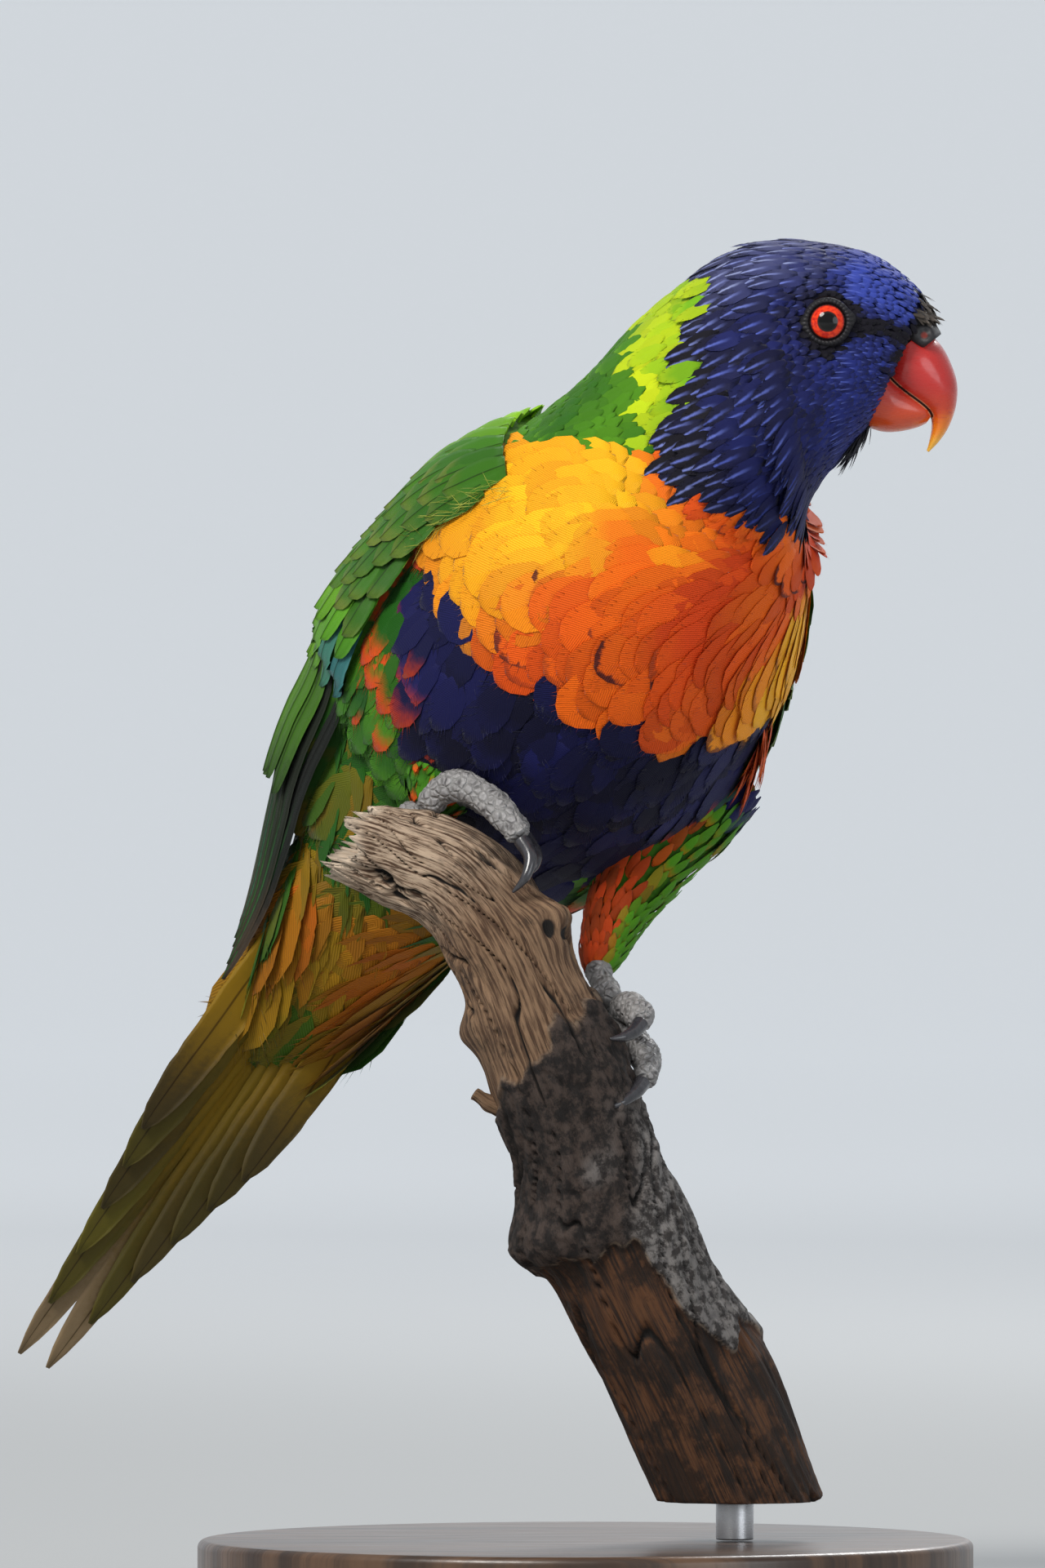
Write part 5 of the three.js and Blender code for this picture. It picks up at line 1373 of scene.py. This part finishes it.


# Bare grey-brown wood, pale at the broken end, darker and charred below, with dark bark between, and painted shade in
# the cracks, hollows and splits
def woodFinish():
    m = Shade("dead wood")
    uv, place = m.uv("wood"), m.place()
    _, v, _ = m.parts(uv)

    def fibres(size, scale, detail, rough):
        return m.noise(m.node("ShaderNodeMapping", {"Vector": uv, "Scale": size}).outputs[0], scale, detail, rough)

    grain, fine = fibres((34, 9, 1), 1.6, 6, 0.62), fibres((130, 16, 1), 2.0, 5, 0.6)
    # The hollow attribute: depth of the cracks, hollows and splits (painted dark as shade), bark and flaking bark
    low, bark, flake = m.parts(m.attribute("hollow"))
    dark, lower = (0.008, 0.006, 0.005), m.step(v, 0.60, 0.74)
    tan = m.mix(lower, (0.27, 0.165, 0.095), (0.115, 0.048, 0.020))
    brown = m.mix(lower, (0.075, 0.038, 0.020), (0.022, 0.011, 0.007))
    charred = m.times(m.step(m.noise(place, 90, 5, 0.7), 0.44, 0.56), m.step(v, 0.66, 0.72))
    stain = m.times(m.step(m.noise(place, 70, 5, 0.65), 0.54, 0.64), m.step(fine, 0.62, 0.42))
    colour = m.over(m.mix(m.step(grain, 0.38, 0.60), brown, tan),
                    (m.times(m.step(v, 0.34, 0.12), m.step(grain, 0.40, 0.58)), (0.56, 0.42, 0.30)),
                    (m.times(m.step(v, 0.04, 0.0), 0.7), (0.72, 0.60, 0.47)), (m.times(stain, 0.85), dark),
                    (m.times(charred, 0.75), dark), (m.times(m.step(fine, 0.41, 0.33), 0.9), dark))
    scaly = m.noise(place, 420, 5, 0.7)
    barkColour = m.mix(flake, m.mix(m.step(scaly, 0.40, 0.62), (0.012, 0.009, 0.008), (0.060, 0.042, 0.034)),
                       m.mix(m.step(scaly, 0.42, 0.60), (0.035, 0.030, 0.028), (0.20, 0.185, 0.175)))
    lip = m.times(m.times(m.step(bark, 0.15, 0.5), m.step(bark, 0.95, 0.6)), m.step(scaly, 0.42, 0.60))
    # Bark over the wood, a pale lip at its edge, and painted shade darkening the cracks, hollows and splits
    colour = m.over(colour, (bark, barkColour), (m.times(lip, 0.6), (0.22, 0.16, 0.11)),
                    (m.step(low, 0.25, 0.8), dark))
    m.bump(m.plus(m.times(fine, 0.7), grain), 0.9, 0.0007)
    return m.finish(colour, m.step(grain, 0.3, 0.7, 0.62, 0.88), Specular_IOR_Level=0.3)


finishes["wood"] = woodFinish()


# Degrees from an angle, between -180 and 180
def turnFrom(angle, degrees):
    return (degrees - angle + 540) % 360 - 180


def roundNoise(turn, size, height, aside=0):
    return noise.noise(Vector((math.cos(turn) * size + aside, math.sin(turn) * size, height)))


def buildBranch():
    steps, around = branch["steps"], branch["around"]
    t = np.linspace(0, 1, steps)
    centre = catmull(branch["path"], t * (len(branch["path"]) - 1))
    along = unit(np.gradient(centre, axis=0))
    near = unit(np.array([0, -1.0, 0]) + along * along[:, 1:2])
    right = unit(np.cross(along, near))
    radius = np.interp(t * (len(branch["radii"]) - 1), np.arange(len(branch["radii"])), branch["radii"])
    degrees = np.arange(around) * 360 / around
    tt, dd = gridOf(t, degrees)
    reach = radius[:, None] + 0.35 * np.sin(np.radians(3 * dd) + 9 * tt)
    for at, angle, high, spread, wide in branch["lumps"]:
        reach = reach + high * np.exp(-((tt - at) / spread) ** 2) * np.exp(-(turnFrom(angle, dd) / wide) ** 2)
    # Grain: fibres, cracks, and the noises that tear the bark's edge
    a = np.radians(dd)
    cut, chunk, tear = (np.zeros_like(reach) for _ in range(3))
    for i in range(steps):
        length, twist = t[i] * branch["grainLong"], 0.5 * math.sin(t[i] * 9)
        for j in range(around):
            turn = a[i, j] + twist
            fibre, fine = roundNoise(turn, 5.5, length * 0.55), roundNoise(turn, 16, length * 1.3 + 7)
            chunk[i, j], tear[i, j] = roundNoise(turn, 1.8, length * 1.2 + 20), roundNoise(turn, 4.5, length * 2.6 + 40)
            cut[i, j] = max(0.0, 1 - abs(roundNoise(turn, 2.6, length * 0.35, aside=3)) / branch["crackWide"])
            reach[i, j] += branch["fibre"] * fibre + 0.26 * fine + 0.7 * chunk[i, j] - branch["crack"] * cut[i, j]
    for at, angle, deep, spread, wide in branch["hollows"]:
        pit = np.exp(-((tt - at) / spread) ** 2 - (turnFrom(angle, dd) / wide) ** 2)
        reach, cut = reach - deep * pit, np.maximum(cut, smooth(0.35, 0.8, pit))
    for angle, start, end, deep, wide in branch["splits"]:
        turn = turnFrom(0, dd - angle - 14 * (tt - start) / (end - start) + 6 * tear)
        gap = np.exp(-(turn / wide) ** 2) * smooth(start, start + 0.03, tt) * smooth(end, end - 0.03, tt)
        reach, cut = reach - deep * gap, np.maximum(cut, gap)
    # Bark stays on the middle and, further down, on the right
    facing = 0.5 + 0.5 * np.cos(np.radians(dd - 95))
    upper = 0.52 - 0.06 * facing + 0.05 * chunk + 0.02 * tear
    lower = 0.725 + 0.15 * smooth(0.62, 0.78, facing + 0.15 * chunk) + 0.025 * tear + 0.03 * chunk
    bark = smooth(-0.006, 0.006, tt - upper) * smooth(-0.006, 0.006, lower - tt)
    reach = reach + branch["barkHigh"] * bark * (0.65 + 0.5 * within(np.abs(tear) * 5))
    flake = bark * smooth(0.55, 0.8, facing + 0.3 * chunk) * smooth(0.55, 0.62, tt)
    # The broken top: prongs, a ragged rim, and a few shrinking rings that close it with a torn face
    splinter = np.array([0.6 * roundNoise(b, 3, 4.0) + roundNoise(b, 9, 9.0) for b in a[0]])
    for angle, wide, high in branch["prongs"]:
        splinter = splinter + high / 4 * np.exp(-(turnFrom(angle, degrees) / wide) ** 2)
    grid = centre[:, None] + near[:, None] * (reach * np.cos(a))[..., None]
    grid = grid - right[:, None] * (reach * np.sin(a))[..., None]
    grid = grid - along[:, None] * (smooth(0.06, 0.0, tt) * (splinter * 4.0))[..., None]
    grid[..., 2] = np.maximum(grid[..., 2], branch["foot"])
    caps = []
    for k, share in enumerate((0.86, 0.66, 0.42, 0.16)):
        torn = np.array([roundNoise(b, share * 7, 31.0) for b in a[0]])
        drop = ((grid[0] - centre[0]) @ along[0]) * (1 - share ** 3) * share
        caps.append(centre[0] + (grid[0] - centre[0]) * share - along[0] * drop[:, None]
                    + along[0] * (0.6 + 2.4 * torn[:, None] + 0.4 * k))
    grid = np.concatenate([np.array(caps[::-1]), grid])
    # The first channel marks the cracks, hollows and splits that the wood finish paints dark as shade
    hollow = np.concatenate([np.zeros((len(caps), around, 3)), np.stack([cut, bark, flake], -1)])
    v = np.concatenate([np.zeros(len(caps)), t])
    uv = np.stack(np.broadcast_arrays(np.abs(2 * degrees / 360 - 1), v[:, None]), -1)
    makeBody("branch", grid, finishes["wood"], "dead_wood", ("perch_branch",), {"wood": uv.reshape(-1, 2)},
             {"hollow": hollow.reshape(-1, 3)})
    stub = Tube(branch["stub"], branch["stubRadii"])
    t, turn = stepsAndTurns(40, 28)
    rough = np.array([roundNoise(b, 2.5, c * 4) for c, b in zip(t.ravel(), turn.ravel())]).reshape(t.shape)
    uv = np.stack([np.abs(turn / np.pi - 1) * 0.15, 0.5 + 0.05 * t], -1)
    makeBody("branch_twig_stub", stub.point(t, turn, 0.5 * rough - 0.5 * (t > 0.985)), finishes["wood"], "dead_wood",
             uv={"wood": uv.reshape(-1, 2)}, colours={"hollow": np.zeros((t.size, 3))})


buildBranch()
print("branch made")

# Stand: a turned base and a short rod
stand = {"radius": 72, "thick": 12, "edge": 1.5, "rod": 3.5, "rodAt": (27.6, -8.7), "rodFrom": 12.3,
         "rodTo": 19.2, "rodEdge": 0.3}


def baseFinish():
    m = Shade("base wood")
    rings = m.noise(m.place(size=(1, 14, 1)), 14, 5, 0.6)
    fine = m.noise(m.place(size=(1, 30, 1)), 60, 4, 0.6)
    colour = m.mix(m.step(rings, 0.35, 0.65), (0.035, 0.018, 0.010), (0.11, 0.058, 0.030))
    colour = m.mix(m.step(fine, 0.5, 0.7, 0, 0.5), colour, (0.018, 0.010, 0.007))
    m.bump(fine, 0.2, 0.0002)
    return m.finish(colour, m.step(fine, 0.3, 0.7, 0.3, 0.42), Coat_Weight=0.2, Coat_Roughness=0.2)


def steelFinish():
    m = Shade("rod steel")
    brush = m.noise(m.place(size=(1, 1, 40)), 500, 3)
    m.bump(brush, 0.15, 0.0001)
    colour = m.mix(brush, (0.52, 0.53, 0.55), (0.66, 0.67, 0.69))
    return m.finish(colour, m.step(brush, 0.3, 0.7, 0.26, 0.4), Metallic=1.0)


# A turned body with rounded rims
def lathe(name, radius, low, high, edge, around, centre, material, slot, replaces, steps=6):
    rim = [(radius - edge + edge * math.sin(b), low + edge - edge * math.cos(b))
           for b in (k / steps * math.pi / 2 for k in range(steps + 1))]
    profile = [(radius * 0.5, low)] + rim + [(r, low + high - z) for r, z in rim[::-1]] + [(radius * 0.5, high)]
    grid = np.array([[(centre[0] + r * math.cos(b), centre[1] + r * math.sin(b), z) for b in turnsOf(around)]
                     for r, z in profile])
    makeBody(name, grid, material, slot, replaces)


lathe("base_disc", stand["radius"], 0, stand["thick"], stand["edge"], 128, (0, 0), baseFinish(), "base_wood",
      ("stand_base",))
lathe("short_rod", stand["rod"], stand["rodFrom"], stand["rodTo"], stand["rodEdge"], 64, stand["rodAt"],
      steelFinish(), "rod_steel", ("stand_rod",))
print("stand made")

# Studio: a pale sweep with painted shade near the model and painted light away from it, where it also glows faintly,
# and three soft lights. Sizes here are metres.
studio = {
    # near and far: the sweep's colour as painted shade by the model and painted light away from it
    "near": (0.40, 0.41, 0.415), "far": (0.76, 0.77, 0.78), "glow": 0.28, "sky": (0.9, 0.95, 1.0), "world": 0.46,
    "wide": 15.0, "front": -7.0, "back": 8.0, "curve": 2.0, "high": 6.0,
    "lights": [
        ("key", (-0.9, -1.3, 1.5), (0, 0, 0.17), 0.9, 40, (1, 0.97, 0.93)),
        ("fill", (1.5, -1.6, 0.5), (0, 0, 0.17), 1.4, 11, (0.92, 0.96, 1)),
        ("rim", (0.5, 1.3, 1.2), (0, 0, 0.18), 0.8, 16, (1, 1, 1)),
    ],
}


def buildStudio():
    m = Shade("studio sweep")
    x, y, _ = m.parts(m.place())
    away = m.hypot(x, y)
    m.put("Emission Color", studio["sky"])
    m.put("Emission Strength", m.step(away, 0.6, 2.4, 0, studio["glow"]))
    # Painted shade and light: the sweep's colour runs from darker near the model to paler away from it, which evens out
    # the lamps' light on it
    sweepFinish = m.finish(m.mix(m.step(away, 0.9, 3.5), studio["near"], studio["far"]), 0.9, Specular_IOR_Level=0.1)
    curve, floorEnd = studio["curve"], studio["back"] - studio["curve"]
    profile = [(studio["front"], 0.0), (floorEnd, 0.0)]
    for b in (k / 12 * math.pi / 2 for k in range(1, 13)):
        profile.append((floorEnd + curve * math.sin(b), curve * (1 - math.cos(b))))
    profile.append((studio["back"], studio["high"]))
    grid = np.array([[(x, y, z) for x in (-studio["wide"] / 2, studio["wide"] / 2)] for y, z in profile]) / mm
    makePiece("sweep", grid.reshape(-1, 3), ringFaces(len(profile), 2, closed=False, caps=False), sweepFinish)
    scene.world = bpy.data.worlds.new("studio")
    scene.world.use_nodes = True
    background = scene.world.node_tree.nodes["Background"]
    background.inputs[0].default_value, background.inputs[1].default_value = (*studio["sky"], 1), studio["world"]
    for name, at, aim, size, power, colour in studio["lights"]:
        data = bpy.data.lights.new(name, "AREA")
        data.shape, data.size, data.energy, data.color = "DISK", size, power, colour
        light = bpy.data.objects.new(name, data)
        light.location = at
        light.rotation_euler = (Vector(aim) - Vector(at)).to_track_quat("-Z", "Y").to_euler()
        scene.collection.objects.link(light)


buildStudio()
for shapes in vanes.values():
    for piece in shapes:
        bpy.data.objects.remove(piece)
print("studio made")
